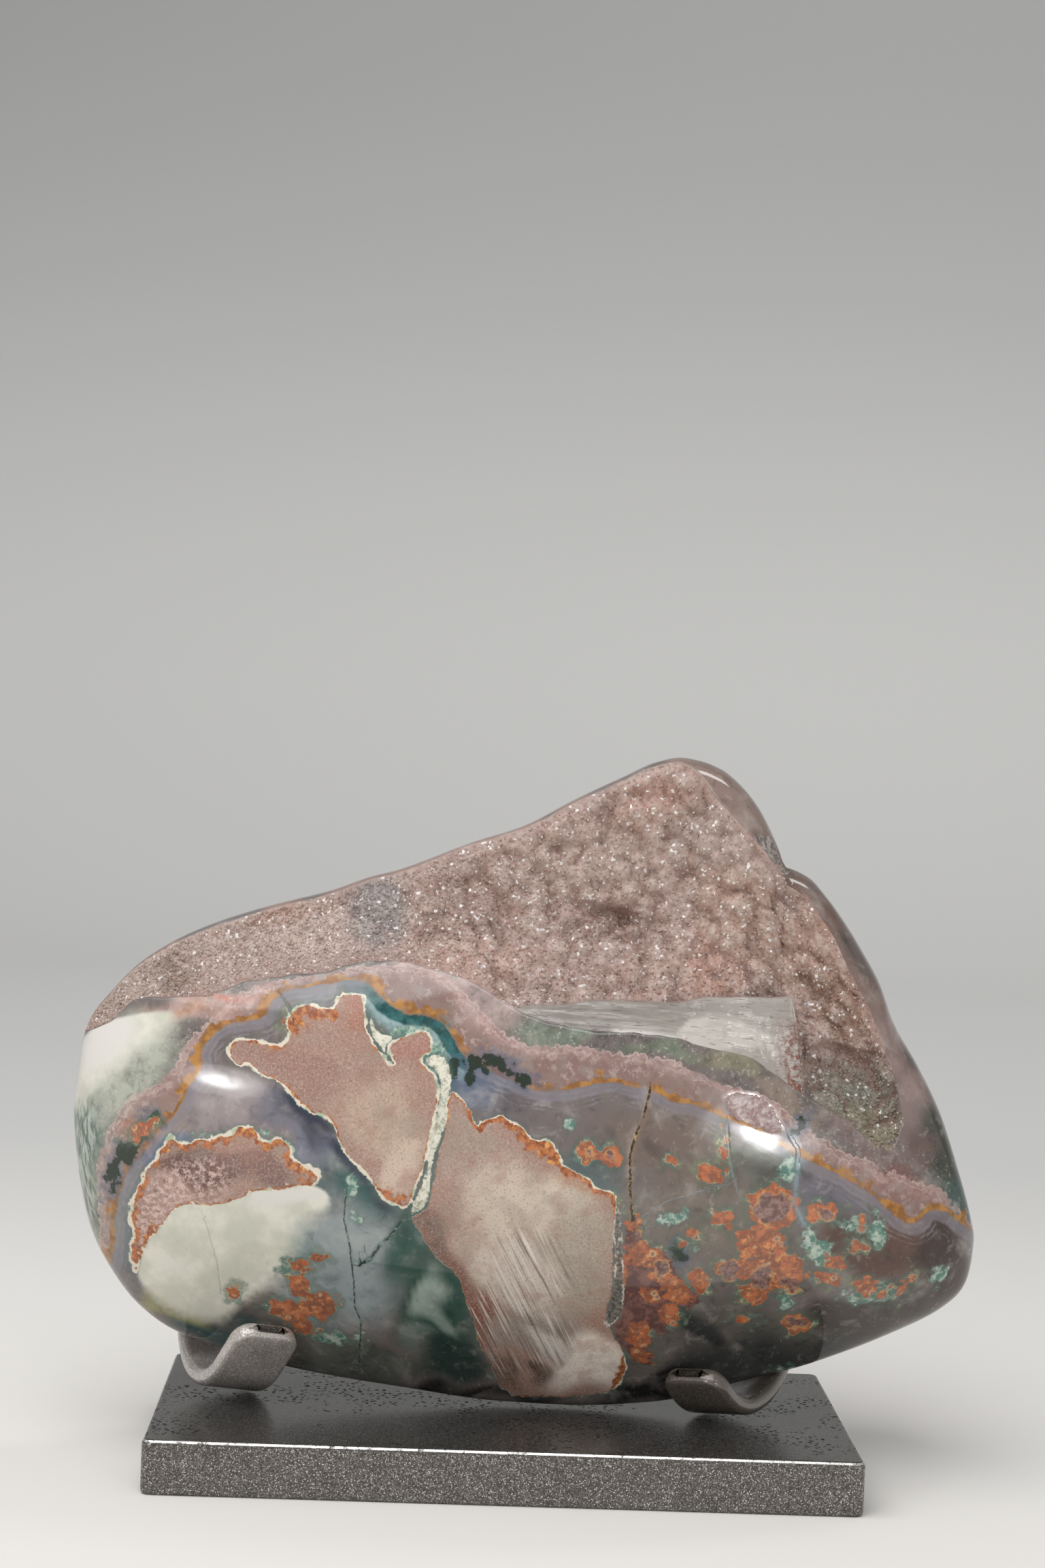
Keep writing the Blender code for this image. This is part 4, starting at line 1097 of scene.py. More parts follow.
def paint_jasper(p):
    """Jasper with its fill, a cream line and a green halo. Gives its distance, streaks and lines."""
    halo = p.number("halo")
    jasper = p.add(p.number("jasper"), p.times(p.lobes, halo, 0.8), p.times(p.middling, 0.35),
                   p.times(p.fine, 0.55))
    rim_wide = p.number("rim_wide")
    waver = p.times(p.centred(p.noise(3.0, 4, seed=23), 4.0), rim_wide)
    depth = p.math("DIVIDE", p.add(jasper, waver), p.math("MAXIMUM", rim_wide, 0.05))
    streak = p.number("streak")
    lines = p.noise(0.7, 2, 0.5, seed=22, place=p.drawn((1.0, 26.0, 40.0), (0, -27, 0)))
    p.lay(p.times(p.number("navy"), p.step(jasper, 5.0, 1.5)), (46, 48, 66))
    p.lay(p.times(halo, p.step(jasper, 3.0, 0.5, 0.5)), (92, 110, 104))
    p.lay(p.step(jasper, 0.15, -0.15), jasper_filling(p, depth, streak, lines))
    half_wide = p.times(p.number("edge_wide"), p.step(p.noise(5.0, 4, 0.6, seed=37), 0.30, 0.66, 2.0))
    edge = p.math("DIVIDE", p.math("ABSOLUTE", p.add(jasper, -0.1)), p.math("MAXIMUM", half_wide, 0.02))
    p.lay(p.step(edge, 1.4, 0.6, 0.9),
          p.blend(p.noise(4.0, 3, seed=48), 0.36, 0.52, (166, 184, 158), (230, 221, 202)))
    return jasper, streak, lines


def paint_glass_and_chip(p):
    """The glassy vein, and the sugary chip in the ledge. Gives the chip's share."""
    glass = p.add(p.number("glass"), p.times(p.fine, 0.9), p.times(p.middling, 0.3), 0.5)
    p.lay(p.step(glass, 0.3, -0.5, 0.85), p.blend(p.feather, 0.4, 0.6, (70, 68, 64), (132, 126, 118)))
    p.lay(p.times(p.band(glass, -0.2, 0.1, 0.25, 0.9), p.step(p.patchy, 0.46, 0.58)), (206, 200, 186))
    chip = p.step(p.add(p.number("chip"), p.times(p.fine, 1.4), p.times(p.middling, 0.5)), 0.4, -0.5)
    p.lay(chip, p.blend(p.noise(2.4, 5, 0.7, seed=49), 0.40, 0.62, (150, 122, 120), (204, 190, 186)))
    return chip


def paint_cracks(p):
    """Ochre, green and pale cracks, stained on both sides. Gives where they are open."""
    crack = p.math("ABSOLUTE", p.add(p.number("crack"), p.times(p.fine, 0.5), p.times(p.middling, 0.14)))
    half_wide = p.number("crack_wide")
    open_share = p.times(p.step(crack, 1.0, 0.4), p.step(half_wide, 0.02, 0.2))
    crack = p.math("DIVIDE", crack, p.math("MAXIMUM", half_wide, 0.02))
    there = p.step(half_wide, 0.02, 0.12)
    flow = p.noise(4.0, 3, 0.6, seed=50)
    kind = p.number("crack_kind")
    greener = p.step(kind, 0.0, 0.5)
    paler = p.step(kind, 0.5, 1.0)
    stain = p.mix(paler, p.mix(greener, (150, 112, 70), (46, 92, 80)), (120, 134, 140))
    p.lay(p.times(p.step(crack, 2.8, 0.6, 0.6), there, p.step(flow, 0.28, 0.56)), stain)
    slit = p.blend(flow, 0.54, 0.60, (40, 36, 30), (178, 158, 118))
    slit = p.mix(greener, slit, p.blend(flow, 0.56, 0.60, (24, 40, 36), (120, 140, 128)))
    inner = p.times(p.step(crack, 1.1, 0.5, 0.95), there, p.step(flow, 0.40, 0.50))
    p.lay(p.times(inner, p.math("MULTIPLY_ADD", paler, -0.6, 1.0)), p.mix(paler, slit, (150, 162, 168)))
    return open_share


def paint_notch(p):
    """The broken stone in the notch of the crest. Gives its share."""
    notch = p.step(p.wavered("notch", fine=1.2), 0.4, -0.4)
    p.lay(notch, p.blend(p.noise(2.6, 5, 0.7, seed=57), 0.40, 0.62, (104, 94, 88), (190, 178, 172)))
    return notch


def stone_skin_material():
    """Polished agate with its bands, spots, veins and jasper patches, laid one over the other."""
    p = StonePaint("polished_agate")
    paint_agate(p)
    line = paint_bands(p)
    paint_pink_band(p, line)
    paint_ochre_line(p, line)
    paint_white(p)
    paint_growths(p)
    outside = paint_maroon(p)
    paint_orange_spots(p, outside)
    paint_cream_veins(p)
    jasper, streak, lines = paint_jasper(p)
    chip = paint_glass_and_chip(p)
    open_share = paint_cracks(p)
    notch = paint_notch(p)
    # Gloss: mirror polish, a little duller on the jasper, rough in the chip and the notch
    in_jasper = p.step(jasper, 0.2, -0.3)
    patch_share = p.step(p.noise(20.0, 3, seed=27), 0.5, 0.8)
    rough = p.add(0.07, p.times(in_jasper, 0.10), p.times(streak, in_jasper, p.step(lines, 0.4, 0.6, 0.22)),
                  p.times(chip, 0.25), p.times(notch, 0.3), p.times(patch_share, 0.05))
    pits = p.step(p.cells(4.6, "Distance"), 0.13, 0.05)
    relief = p.add(p.times(pits, in_jasper, -0.6), p.times(p.grain, in_jasper, 0.10),
                   p.times(open_share, -0.4), p.times(streak, in_jasper, lines, 0.35),
                   p.times(chip, p.cells(1.1, "Distance"), -1.4), p.times(p.noise(16.0, 2, seed=28), 0.5))
    return p.finish(Base_Color=p.base, Roughness=rough, IOR=1.54, Normal=p.bump(relief, 0.22))


def druse_material(name, flake_size, flake_tilt):
    """Sugary quartz: pink-brown, with painted light on its lumps and crystal tips, painted shade in its
    hollows, and painted glints.
    """
    p = Paint(name)
    base = p.mottled(p.tint("ground"), ((6.0, 4, 0.6, 31), (0.46, 0.64, 0.30), (150, 136, 128)),
                     ((4.0, 4, 0.6, 38), (0.52, 0.66, 0.25), (194, 176, 166)),
                     ((9.0, 5, 0.6, 32), (0.52, 0.66, 0.30), (156, 116, 98)))
    height = p.number("height")
    # Painted shade where the sheet lies low, and painted light where it stands high
    base = p.mix(p.step(height, 0.64, 0.30, 0.72), base, (130, 102, 90))
    base = p.mix(p.step(height, 0.7, 1.0, 0.40), base, (200, 182, 172))
    flake = p.cells(flake_size)
    sparkle, shade, dull = p.parts(flake)
    # Painted glints: a few flake cells on the higher places made near white
    bright = p.times(p.step(sparkle, 0.955, 0.965), p.step(height, 0.30, 0.55))
    base = p.mix(p.times(bright, 0.8), base, (254, 252, 250))
    base = p.mix(p.step(shade, 0.5, 0.1, 0.2), base, (130, 106, 96))
    facet = p.vector("MULTIPLY", p.vector("SUBTRACT", flake, [0.5] * 3), [flake_tilt] * 3)
    return p.finish(Base_Color=base, Roughness=p.add(0.20, p.times(dull, 0.30)), IOR=1.56,
                    Normal=p.vector("NORMALIZE", p.vector("ADD", p.normal(), facet)))


def calcite_material():
    """Cloudy, see-through calcite with level cleavage lines."""
    p = Paint("cloudy_calcite")
    layers = p.noise(3.0, 4, 0.6, seed=41, place=p.drawn((7.0, 1.0, 0.7), (0, 2, 0)))
    base = p.blend(layers, 0.40, 0.60, (190, 181, 172), (166, 159, 152))
    # Painted light on the lit facets; the same share also makes the right part paler
    base = p.mix(p.number("facet"), base, (240, 233, 224))
    base = p.mottled(base, ((9.0, 4, 0.6, 42), (0.50, 0.66, 0.35), (196, 186, 176)),
                     ((3.0, 5, 0.7, 43), (0.62, 0.74, 0.5), (222, 216, 208)))
    veins = p.step(p.noise(1.2, 3, 0.6, seed=44, place=p.drawn((5.0, 1.0, 0.5), (0, 3, 0))), 0.62, 0.7)
    base = p.mix(p.times(veins, 0.22), base, (124, 114, 108))
    base = p.mottled(base, ((2.0, 4, 0.7, 45), (0.42, 0.6), (150, 92, 74)), within=p.number("stain"))
    absorb = p.node("ShaderNodeVolumeAbsorption")
    p.put(absorb.inputs["Color"], (214, 204, 192))
    absorb.inputs["Density"].default_value = 60.0
    p.tree.links.new(absorb.outputs[0], p.tree.nodes["Material Output"].inputs["Volume"])
    return p.finish(Base_Color=base, Roughness=0.14, IOR=1.6, Transmission_Weight=0.35,
                    Normal=p.bump(p.add(layers, p.times(veins, -0.6)), 0.5))


def plate_soot_shade_and_highlight(p, base, metal, rough):
    """The plate's top with painted shade and soot specks, and a painted highlight along its rounded edges,
    told apart by their tilt.
    """
    up = p.parts(p.normal(), "XYZ")[2]
    top = p.step(up, 0.90, 0.97)
    # Painted shade: the top made darker and less metallic than the sides
    base = p.mix(p.times(top, 0.75), base, (32, 31, 30))
    metal = p.times(metal, p.math("MULTIPLY_ADD", top, -0.8, 1.0))
    near = p.step(p.noise(24.0, 3, 0.6, seed=52), 0.48, 0.58)
    specks = p.times(top, near, p.step(p.cells(2.2, "Distance"), 0.36, 0.28))
    base = p.mix(specks, base, (4, 4, 4))
    rough = p.math("MULTIPLY_ADD", specks, 0.7, rough)
    # Painted highlight: a near-white, fully metallic band along the rounded edges
    patch_share = p.times(p.band(up, 0.42, 0.78, 0.08), p.step(p.noise(2.4, 4, 0.7, seed=59), 0.36, 0.48))
    return p.mix(patch_share, base, (232, 229, 224)), p.math("MAXIMUM", metal, patch_share), rough


def steel_material(name, ground, flake_tint, glint_share, rough, coat, flat=False):
    """Dark powder coat with silver flakes and painted glints; a flat plate also gets soot, painted shade and
    a painted highlight.
    """
    p = Paint(name)
    flake, glint_cell, raised = p.parts(p.cells(0.26))
    base = p.mottled(ground, ((18.0, 4, 0.6, 51), (0.4, 0.7, 0.4), (58, 54, 50)))
    base = p.mix(p.step(flake, 0.5, 1.0, 0.8), base, flake_tint)
    # Painted glints: a share of the flake cells made near white
    base = p.mix(p.step(glint_cell, 1 - glint_share, 1.015 - glint_share), base, (228, 223, 217))
    metal = p.step(flake, 0.6, 0.9, 0.8)
    if flat:
        base, metal, rough = plate_soot_shade_and_highlight(p, base, metal, rough)
    relief = p.add(p.noise(0.7, 2, seed=53), p.times(raised, 0.7))
    return p.finish(Base_Color=base, Metallic=metal, Roughness=rough, Coat_Weight=coat, Coat_Roughness=0.15,
                    Normal=p.bump(relief, 0.05))


def body_places():
    """Places of the slices along x, closer together at the two ends."""
    share = np.linspace(0, 1, BODY_SLICES)
    first = share[1]
    share = np.concatenate([[first * 0.02, first * 0.12, first * 0.4], share[1:-1],
                            [1 - first * 0.4, 1 - first * 0.12, 1 - first * 0.02]])
    eased = 0.6 * share + 0.4 * (1 - np.cos(np.pi * share)) / 2
    places = LEFT_END[0] + (RIGHT_END[0] - LEFT_END[0]) * eased
    for wanted in (FACE_LEFT, FACE_RIGHT):
        places[np.argmin(np.abs(places - wanted))] = wanted
    return places


def body_grid():
    """Rings of points round the skin, from the ledge down and round to the rim, and on behind the druse."""
    places = body_places()
    shares = np.linspace(0, 1, DENSE_STEPS)
    across = np.linspace(1, 0, BODY_FACE_STEPS + 2)[1:-1]
    rings = []
    for x, low, high in zip(places, *face_edges(places)):
        dense = skin(x, low + (2 * np.pi + high - low) * shares)
        ring = evenly(dense, BODY_STEPS)
        ring[:, 0] = x
        if FACE_LEFT < x < FACE_RIGHT:
            face, inward = face_curve(ring[0], ring[-1], across)
            face = face + inward * BODY_FACE_SINK * np.sin(np.pi * across)[:, None]
        else:
            face = skin(x, high + (low - high) * (1 - across))
        rings.append(np.concatenate([ring, face]))
    return np.array(rings)


def body_faces(rings, around):
    """Faces between the rings, and a fan of them to the point at each end of the stone."""
    faces = ring_faces(rings, around)
    last = (rings - 1) * around
    left_tip = rings * around
    right_tip = left_tip + 1
    for i in range(around):
        j = (i + 1) % around
        faces.append((left_tip, j, i))
        faces.append((right_tip, last + i, last + j))
    return faces


def make_body():
    """The polished stone, with its markings as values on its points."""
    grid = body_grid()
    rings, around = grid.shape[:2]
    normals = grid_normals(grid).reshape(-1, 3)
    points = grid.reshape(-1, 3)
    sight = points - CAMERA_PLACE
    facing = -(normals * sight).sum(-1) / np.linalg.norm(sight, axis=-1)
    marks = markings(points, smoothstep(-0.10, 0.10, facing))
    steps = np.arange(around)
    from_seam = np.where(steps < BODY_STEPS, np.minimum(steps, BODY_STEPS - 1 - steps), 0)
    off_seam = np.tile(smoothstep(0, 3, from_seam), rings)
    sink = CHIP_DEEP * smoothstep(0.6, -1.6, marks["chip"])
    sink += NOTCH_DEEP * smoothstep(0.4, -0.8, marks["notch"]) * off_seam
    points = points - normals * sink[:, None]
    tips = skin(np.array((LEFT_END[0], RIGHT_END[0])), np.full(2, np.pi / 2))
    body = make_mesh("stone_body", np.concatenate([points, tips]), body_faces(rings, around))
    for name, values in marks.items():
        give = give_colour if values.ndim == 2 else give_number
        give(body, name, np.concatenate([values, values[[0, -1]]]))
    body.data.materials.append(stone_skin_material())
    return body


def nearest_of(u, v, outlines):
    """Distance to the nearest of some outlines."""
    best = np.full(u.shape, MARK_FAR)
    for outline_points in outlines:
        best = np.minimum(best, inside_by(u, v, outline_points))
    return best


def most_of(u, v, ovals):
    """The greatest share that some soft ovals give each place, 0 away from them."""
    best = np.zeros(u.shape)
    for middle, sizes, degrees in ovals:
        best = np.maximum(best, smoothstep(1.25, 0.6, oval_reach(u, v, middle, sizes, degrees)))
    return best


def white_share(u, v, outlines):
    """How white the calcite is, with an edge that is sharp in some places and soft in others."""
    right = smoothstep(*WHITE_RIGHT_FADE, u) * smoothstep(*WHITE_LOW_FADE, v)
    below = 1 + 7 * right + 2.5 * smoothstep(*WHITE_FOOT_FADE, v)
    above = 1 + 6 * smoothstep(*WHITE_CORNER_FADE, v + 0.35 * u)
    soft = np.where(v < WHITE_PARTING, above, below)
    white = np.zeros(u.shape)
    for outline_points in outlines:
        white = np.maximum(white, 0.62 - inside_by(u, v, outline_points) / (2 * soft))
    return np.clip(white, 0, 1)


def jasper_marks(u, v, side):
    """How white the calcite is, the distance to the jaspers, and their rims, edges and halos. The last two
    fade out beside the calcite."""
    white = white_share(u, v, side["white"])
    away_from = np.full(u.shape, MARK_FAR)
    widths = {name: np.full(u.shape, wide) for name, wide in PLAIN_WIDTHS.items()}
    for outline_points, *wides in side["jaspers"]:
        away = inside_by(u, v, outline_points)
        closer = away < away_from
        away_from = np.where(closer, away, away_from)
        for name, wide in zip(widths, wides):
            widths[name] = np.where(closer, wide, widths[name])
    for middle, sizes, degrees, *wides in side["rims"]:
        share = smoothstep(1.3, 0.7, oval_reach(u, v, middle, sizes, degrees))
        for name, wide in zip(("rim_wide", "edge_wide"), wides):
            widths[name] = np.maximum(widths[name], wide * share)
    widths["edge_wide"] = widths["edge_wide"] * (1 - 0.9 * smoothstep(0.1, 0.6, white))
    widths["halo"] = widths["halo"] * (1 - smoothstep(0.1, 0.5, white))
    return {"jasper": away_from, "white": white, **widths}


def crack_marks(u, v, cracks):
    """Distance to the nearest crack, with its side as a sign, and that crack's half width and kind."""
    nearest = np.full(u.shape, MARK_FAR)
    wide = np.zeros(u.shape)
    kinds = np.zeros(u.shape)
    for points, half_wide, kind in cracks:
        away, which = beside(u, v, points)
        closer = away < np.abs(nearest)
        nearest = np.where(closer, away * which, nearest)
        wide = np.where(closer, half_wide * smoothstep(4.5, 3.5, away), wide)
        kinds = np.where(closer, kind, kinds)
    return {"crack": nearest, "crack_wide": wide, "crack_kind": kinds}


def side_marks(u, v, side):
    """Each marking's value at places on one side's picture."""
    marks = {"line": inside_by(u, v, side["line"]), "pink": inside_by(u, v, side["pink"])}
    marks.update(jasper_marks(u, v, side))
    for name in ("cream", "glass", "maroon", "chip", "notch"):
        marks[name] = nearest_of(u, v, side[name])
    for name in ("orange", "core", "mint", "dark"):
        marks[name] = spots_distance(u, v, side[name])
    marks.update(crack_marks(u, v, side["cracks"]))
    for name in SHARES:
        marks[name] = most_of(u, v, side["shares"].get(name, []))
    # The washes' edges wander by some pixels
    drift_u = 9 * np.sin(v / 17 + 1.4 * np.sin(u / 31)) + 5 * np.sin(u / 11 + v / 23)
    drift_v = 9 * np.sin(u / 19 + 1.4 * np.sin(v / 27)) + 5 * np.sin(v / 9 - u / 29)
    for name in ("ground", "filling"):
        marks[name] = washed(u + drift_u, v + drift_v, *side[name])
    return marks


def markings(points, front):
    """Each marking's value at each point: the front's by the picture, the back's by its own outlines."""
    seen, hidden = front > 0, front < 1
    front_u, front_v = front_picture(points)
    back_u, back_v = back_picture(points)
    front_marks = side_marks(front_u[seen], front_v[seen], FRONT)
    back_marks = side_marks(back_u[hidden], back_v[hidden], BACK)
    marks = {}
    for name, values in front_marks.items():
        colours = values.ndim == 2
        full = np.zeros((len(points), 3) if colours else len(points))
        share = front[:, None] if colours else front
        full[seen] += values * share[seen]
        full[hidden] += back_marks[name] * (1 - share[hidden])
        marks[name] = full
    return marks


def druse_grid():
    """The druse's smooth ground: points, ways out of the stone, shares from ledge to rim, and its widths."""
    across = int((FACE_RIGHT - FACE_LEFT) / DRUSE_STEP)
    places = np.linspace(FACE_LEFT + 0.3, FACE_RIGHT - 0.3, across)
    ledge, rim = face_edges(places)
    low = skin(places, ledge)
    high = skin(places, rim)
    wide = np.linalg.norm(high - low, axis=-1)
    up = int(wide.mean() / DRUSE_STEP)
    shares = np.linspace(0, 1, up)
    grid = face_curve(low[:, None], high[:, None], np.tile(shares, (across, 1)))[0]
    return grid, -grid_normals(grid, closed=False), shares, wide


def lumps(mm_x, mm_up, sizes, spacing):
    """The height of round lumps, each a cap of a ball, where the higher one wins."""
    height = np.zeros(mm_x.shape)
    rows = len(height)
    step_x = (mm_x[-1, 0] - mm_x[0, 0]) / (rows - 1)
    for x in np.arange(mm_x.min(), mm_x.max(), spacing):
        row = int(np.clip((x - mm_x[0, 0]) / step_x, 0, rows - 1))
        for up in np.arange(0, mm_up[row, -1], spacing):
            at_x = x + RANDOM.uniform(-0.5, 0.5) * spacing
            at_up = up + RANDOM.uniform(-0.5, 0.5) * spacing
            size = RANDOM.uniform(*sizes)
            lift = RANDOM.uniform(0.55, 1.0)
            first = max(int((at_x - size - mm_x[0, 0]) / step_x), 0)
            after = min(int((at_x + size - mm_x[0, 0]) / step_x) + 2, rows)
            if first >= after:
                continue
            part_x = mm_x[first:after]
            part_up = mm_up[first:after]
            apart = ((part_x - at_x) ** 2 + (part_up - at_up) ** 2) / size ** 2
            cap = lift * np.sqrt(np.maximum(1 - apart, 0))
            height[first:after] = np.maximum(height[first:after], cap)
    return height


def make_druse():
    """The sheet of round lumps that lines the open face, and the crystal points that cover it."""
    grid, out, shares, wide = druse_grid()
    rows, columns = grid.shape[:2]
    mm_x = np.repeat(grid[:, 0, 0][:, None], columns, 1)
    mm_up = wide[:, None] * shares[None, :]
    u, v = front_picture(grid)
    big, small, finest = [lumps(mm_x, mm_up, sizes, spacing) for sizes, spacing in LUMP_SIZES]
    coarse = 0.35 + 0.65 * smoothstep(*DRUSE_COARSE_FROM, u)
    relief = 4.4 * coarse * np.maximum(big, 0.3) + 1.1 * small + 0.45 * finest
    for middle, sizes, degrees, depth in HOLLOWS:
        relief -= depth * smoothstep(1.3, 0.2, oval_reach(u, v, middle, sizes, degrees))
    relief -= 3.0 * smoothstep(0.6, -0.6, inside_by(u, v, DRUSE_POCKET))
    # Near its edges the sheet sinks level with the skin
    edge = np.minimum(mm_up, wide[:, None] - mm_up)
    edge = np.minimum(edge, np.minimum(mm_x - mm_x[0, 0], mm_x[-1, 0] - mm_x) * 1.5)
    fade = smoothstep(0, 5.0, edge)
    relief = (relief - 1.6) * fade - 0.25 + 0.25 * finest * (1 - fade)
    surface = grid + out * relief[..., None]
    # How high each place stands, which the paint turns into painted shade and painted light
    standing = 0.7 * (1 - coarse * (1 - np.maximum(big, 0.3))) + 0.3 * small
    height = np.clip(standing + 0.05 * (relief - relief.mean()), 0, 1) * fade + 0.7 * (1 - fade)
    faces = ring_faces(rows, columns, closed=False, flip=True)
    sheet = make_mesh("druse_sheet", surface.reshape(-1, 3), faces)
    tint = washed(u.ravel(), v.ravel(), DRUSE_GROUND, DRUSE_WASHES)
    give_colour(sheet, "ground", tint)
    give_number(sheet, "height", height)
    sheet.data.materials.append(druse_material("druse_quartz", flake_size=1.0, flake_tilt=0.6))
    return sheet, make_crystals(surface, height, tint.reshape(rows, columns, 3), edge)


def crystal_places(rows, columns, edge):
    """A random place in each little square of the sheet, but for its outermost edge."""
    each = CRYSTAL_SPACING
    i, j = np.meshgrid(np.arange(1, rows - each, each), np.arange(1, columns - each, each), indexing="ij")
    i = (i + RANDOM.integers(0, each, i.shape)).ravel()
    j = (j + RANDOM.integers(0, each, j.shape)).ravel()
    kept = edge[i, j] > 0.9
    return i[kept], j[kept]


def crystal_points(middle, outward):
    """Corners of a small six-sided quartz point at each place, tilted at random: foot, neck and tip."""
    count = len(middle)
    axis = outward + RANDOM.normal(0, 0.42, (count, 3))
    axis /= np.linalg.norm(axis, axis=-1, keepdims=True)
    side = np.cross(axis, RANDOM.normal(0, 1, (count, 3)))
    side /= np.linalg.norm(side, axis=-1, keepdims=True)
    other = np.cross(axis, side)
    size = RANDOM.uniform(0.34, 0.72, count) * np.where(RANDOM.random(count) > 0.95, 1.5, 1.0)
    angles = (np.arange(CRYSTAL_SIDES) * 2 * np.pi / CRYSTAL_SIDES)[None, :, None]
    ring = side[:, None] * np.cos(angles) + other[:, None] * np.sin(angles)
    ring = ring * size[:, None, None]
    foot = middle[:, None] + ring - axis[:, None] * (0.7 * size)[:, None, None]
    rise = RANDOM.uniform(0.0, 0.45, count) * size
    neck = middle[:, None] + ring * 0.96 + axis[:, None] * rise[:, None, None]
    tip = neck.mean(1) + axis * (size * RANDOM.uniform(0.8, 1.25, count))[:, None]
    return np.concatenate([foot, neck, tip[:, None]], 1)


def make_crystals(surface, height, tint, edge):
    """The quartz points that stand on the druse's sheet, in one mesh."""
    i, j = crystal_places(*surface.shape[:2], edge)
    count = len(i)
    points = crystal_points(surface[i, j], -grid_normals(surface, closed=False)[i, j])
    sides, tip = CRYSTAL_SIDES, CRYSTAL_CORNERS - 1
    pattern = [(k, (k + 1) % sides, sides + (k + 1) % sides, sides + k) for k in range(sides)]
    pattern += [(sides + k, sides + (k + 1) % sides, tip) for k in range(sides)]
    starts = range(0, count * CRYSTAL_CORNERS, CRYSTAL_CORNERS)
    faces = [[start + corner for corner in face] for start in starts for face in pattern]
    crystals = make_mesh("druse_points", points.reshape(-1, 3), faces, smooth=False)
    shade = RANDOM.uniform(0.93, 1.10, count)[:, None]
    give_colour(crystals, "ground", np.repeat(np.clip(tint[i, j] * shade, 0, 1), CRYSTAL_CORNERS, axis=0))
    # Higher tips, so the paint gives them more painted light and glints
    raised = np.repeat(height[i, j][:, None], CRYSTAL_CORNERS, axis=1)
    raised[:, tip] += 0.25
    give_number(crystals, "height", np.clip(raised, 0, 1))
    crystals.data.materials.append(druse_material("druse_crystals", flake_size=0.9, flake_tilt=0.3))
    return crystals


def blade_slice(x, low_z, high_z):
    """One slice of the blade: its stepped, faceted front, then its top, back and root."""
    levels = np.linspace(0, 1, BLADE_LEVELS)
    heights = low_z + (high_z - low_z) * levels
    front = skin(x, angle_at(x, heights))
    step = 0.5 * np.sign(np.sin(heights * 1.9 + x * 0.05)) * smoothstep(0, 0.2, levels)
    facet = 1.2 * np.abs(((x + 1.4 * heights) / 34.0) % 1 - 0.5)
    front[:, 1] += 0.8 + 0.25 * step + facet * smoothstep(0, 0.5, levels)
    front[0, 1] -= 0.7
    top_y = front[-1, 1]
    back_y = top_y + BLADE_DEEP * (0.85 + 0.15 * math.sin(x / 9.0))
    root = low_z - BLADE_ROOT
    rear = [(x, top_y + 4, high_z + 0.25 * math.sin(x / 3.0)),
            (x, top_y + 9, high_z - 0.4),
            (x, back_y, high_z - 1.2),
            (x, back_y, root),
            (x, front[0, 1] + 4, root)]
    return np.concatenate([front, rear])


def make_blade():
    """The calcite blade on the ledge, cleaved in steps, its ends broken."""
    places = np.linspace(BLADE_TOP[0][0] + 0.3, BLADE_TOP[-1][0] - 0.2, BLADE_SLICES)
    low = outline(LEDGE, places)
    high = np.maximum(smooth_curve(BLADE_TOP, places), low + 0.5)
    grid = np.array([blade_slice(*row) for row in zip(places, low, high)])
    rings, around = grid.shape[:2]
    faces = ring_faces(rings, around, flip=True)
    faces.append(list(range(around)))
    faces.append(list(range((rings - 1) * around, rings * around))[::-1])
    blade = make_mesh("calcite_blade", grid.reshape(-1, 3), faces)
    blade.data.set_sharp_from_angle(angle=math.radians(14))
    # A rusty stain at the right end, low down
    give_number(blade, "stain", smoothstep(86, 99, grid[..., 0]) * smoothstep(174, 160, grid[..., 2]))
    u, v = front_picture(grid)
    # Painted light on the lit facets, and a paler right part
    pale = np.min([inside_by(u, v, outline_points) for outline_points in LIT_FACETS], axis=0)
    pale = np.maximum(0.9 * smoothstep(0.5, -0.5, pale), 0.35 * smoothstep(*BLADE_PALE_FROM, u))
    give_number(blade, "facet", pale)
    blade.data.materials.append(calcite_material())
    return blade


def bar_path(cradle):
    """A bent bar's middle line from its front tip: rows of ahead, height, slope and distance to a tip."""
    rows = []
    insets = TIP_CORNER * (1 - np.cos(np.linspace(0, np.pi / 2, TIP_STEPS + 1)))
    for outward, end in ((1, "front"), (-1, "rear")):
        slope, bend, reach = np.radians(cradle[end]), cradle[end + "_bend"], cradle[end + "_reach"]
        arm = []
        for inset in insets:
            along = reach - inset
            far = bend * np.sin(slope) + np.cos(slope) * along
            high = bend * (1 - np.cos(slope)) + np.sin(slope) * along
            arm.append((outward * far, high, outward * slope, inset))
        for angle in np.linspace(slope, 0, BAR_ARC_STEPS + 1):
            far = bend * np.sin(angle)
            high = bend * (1 - np.cos(angle))
            arm.append((outward * far, high, outward * angle, TIP_CORNER))
        rows += arm if outward > 0 else arm[-2::-1]
    return rows


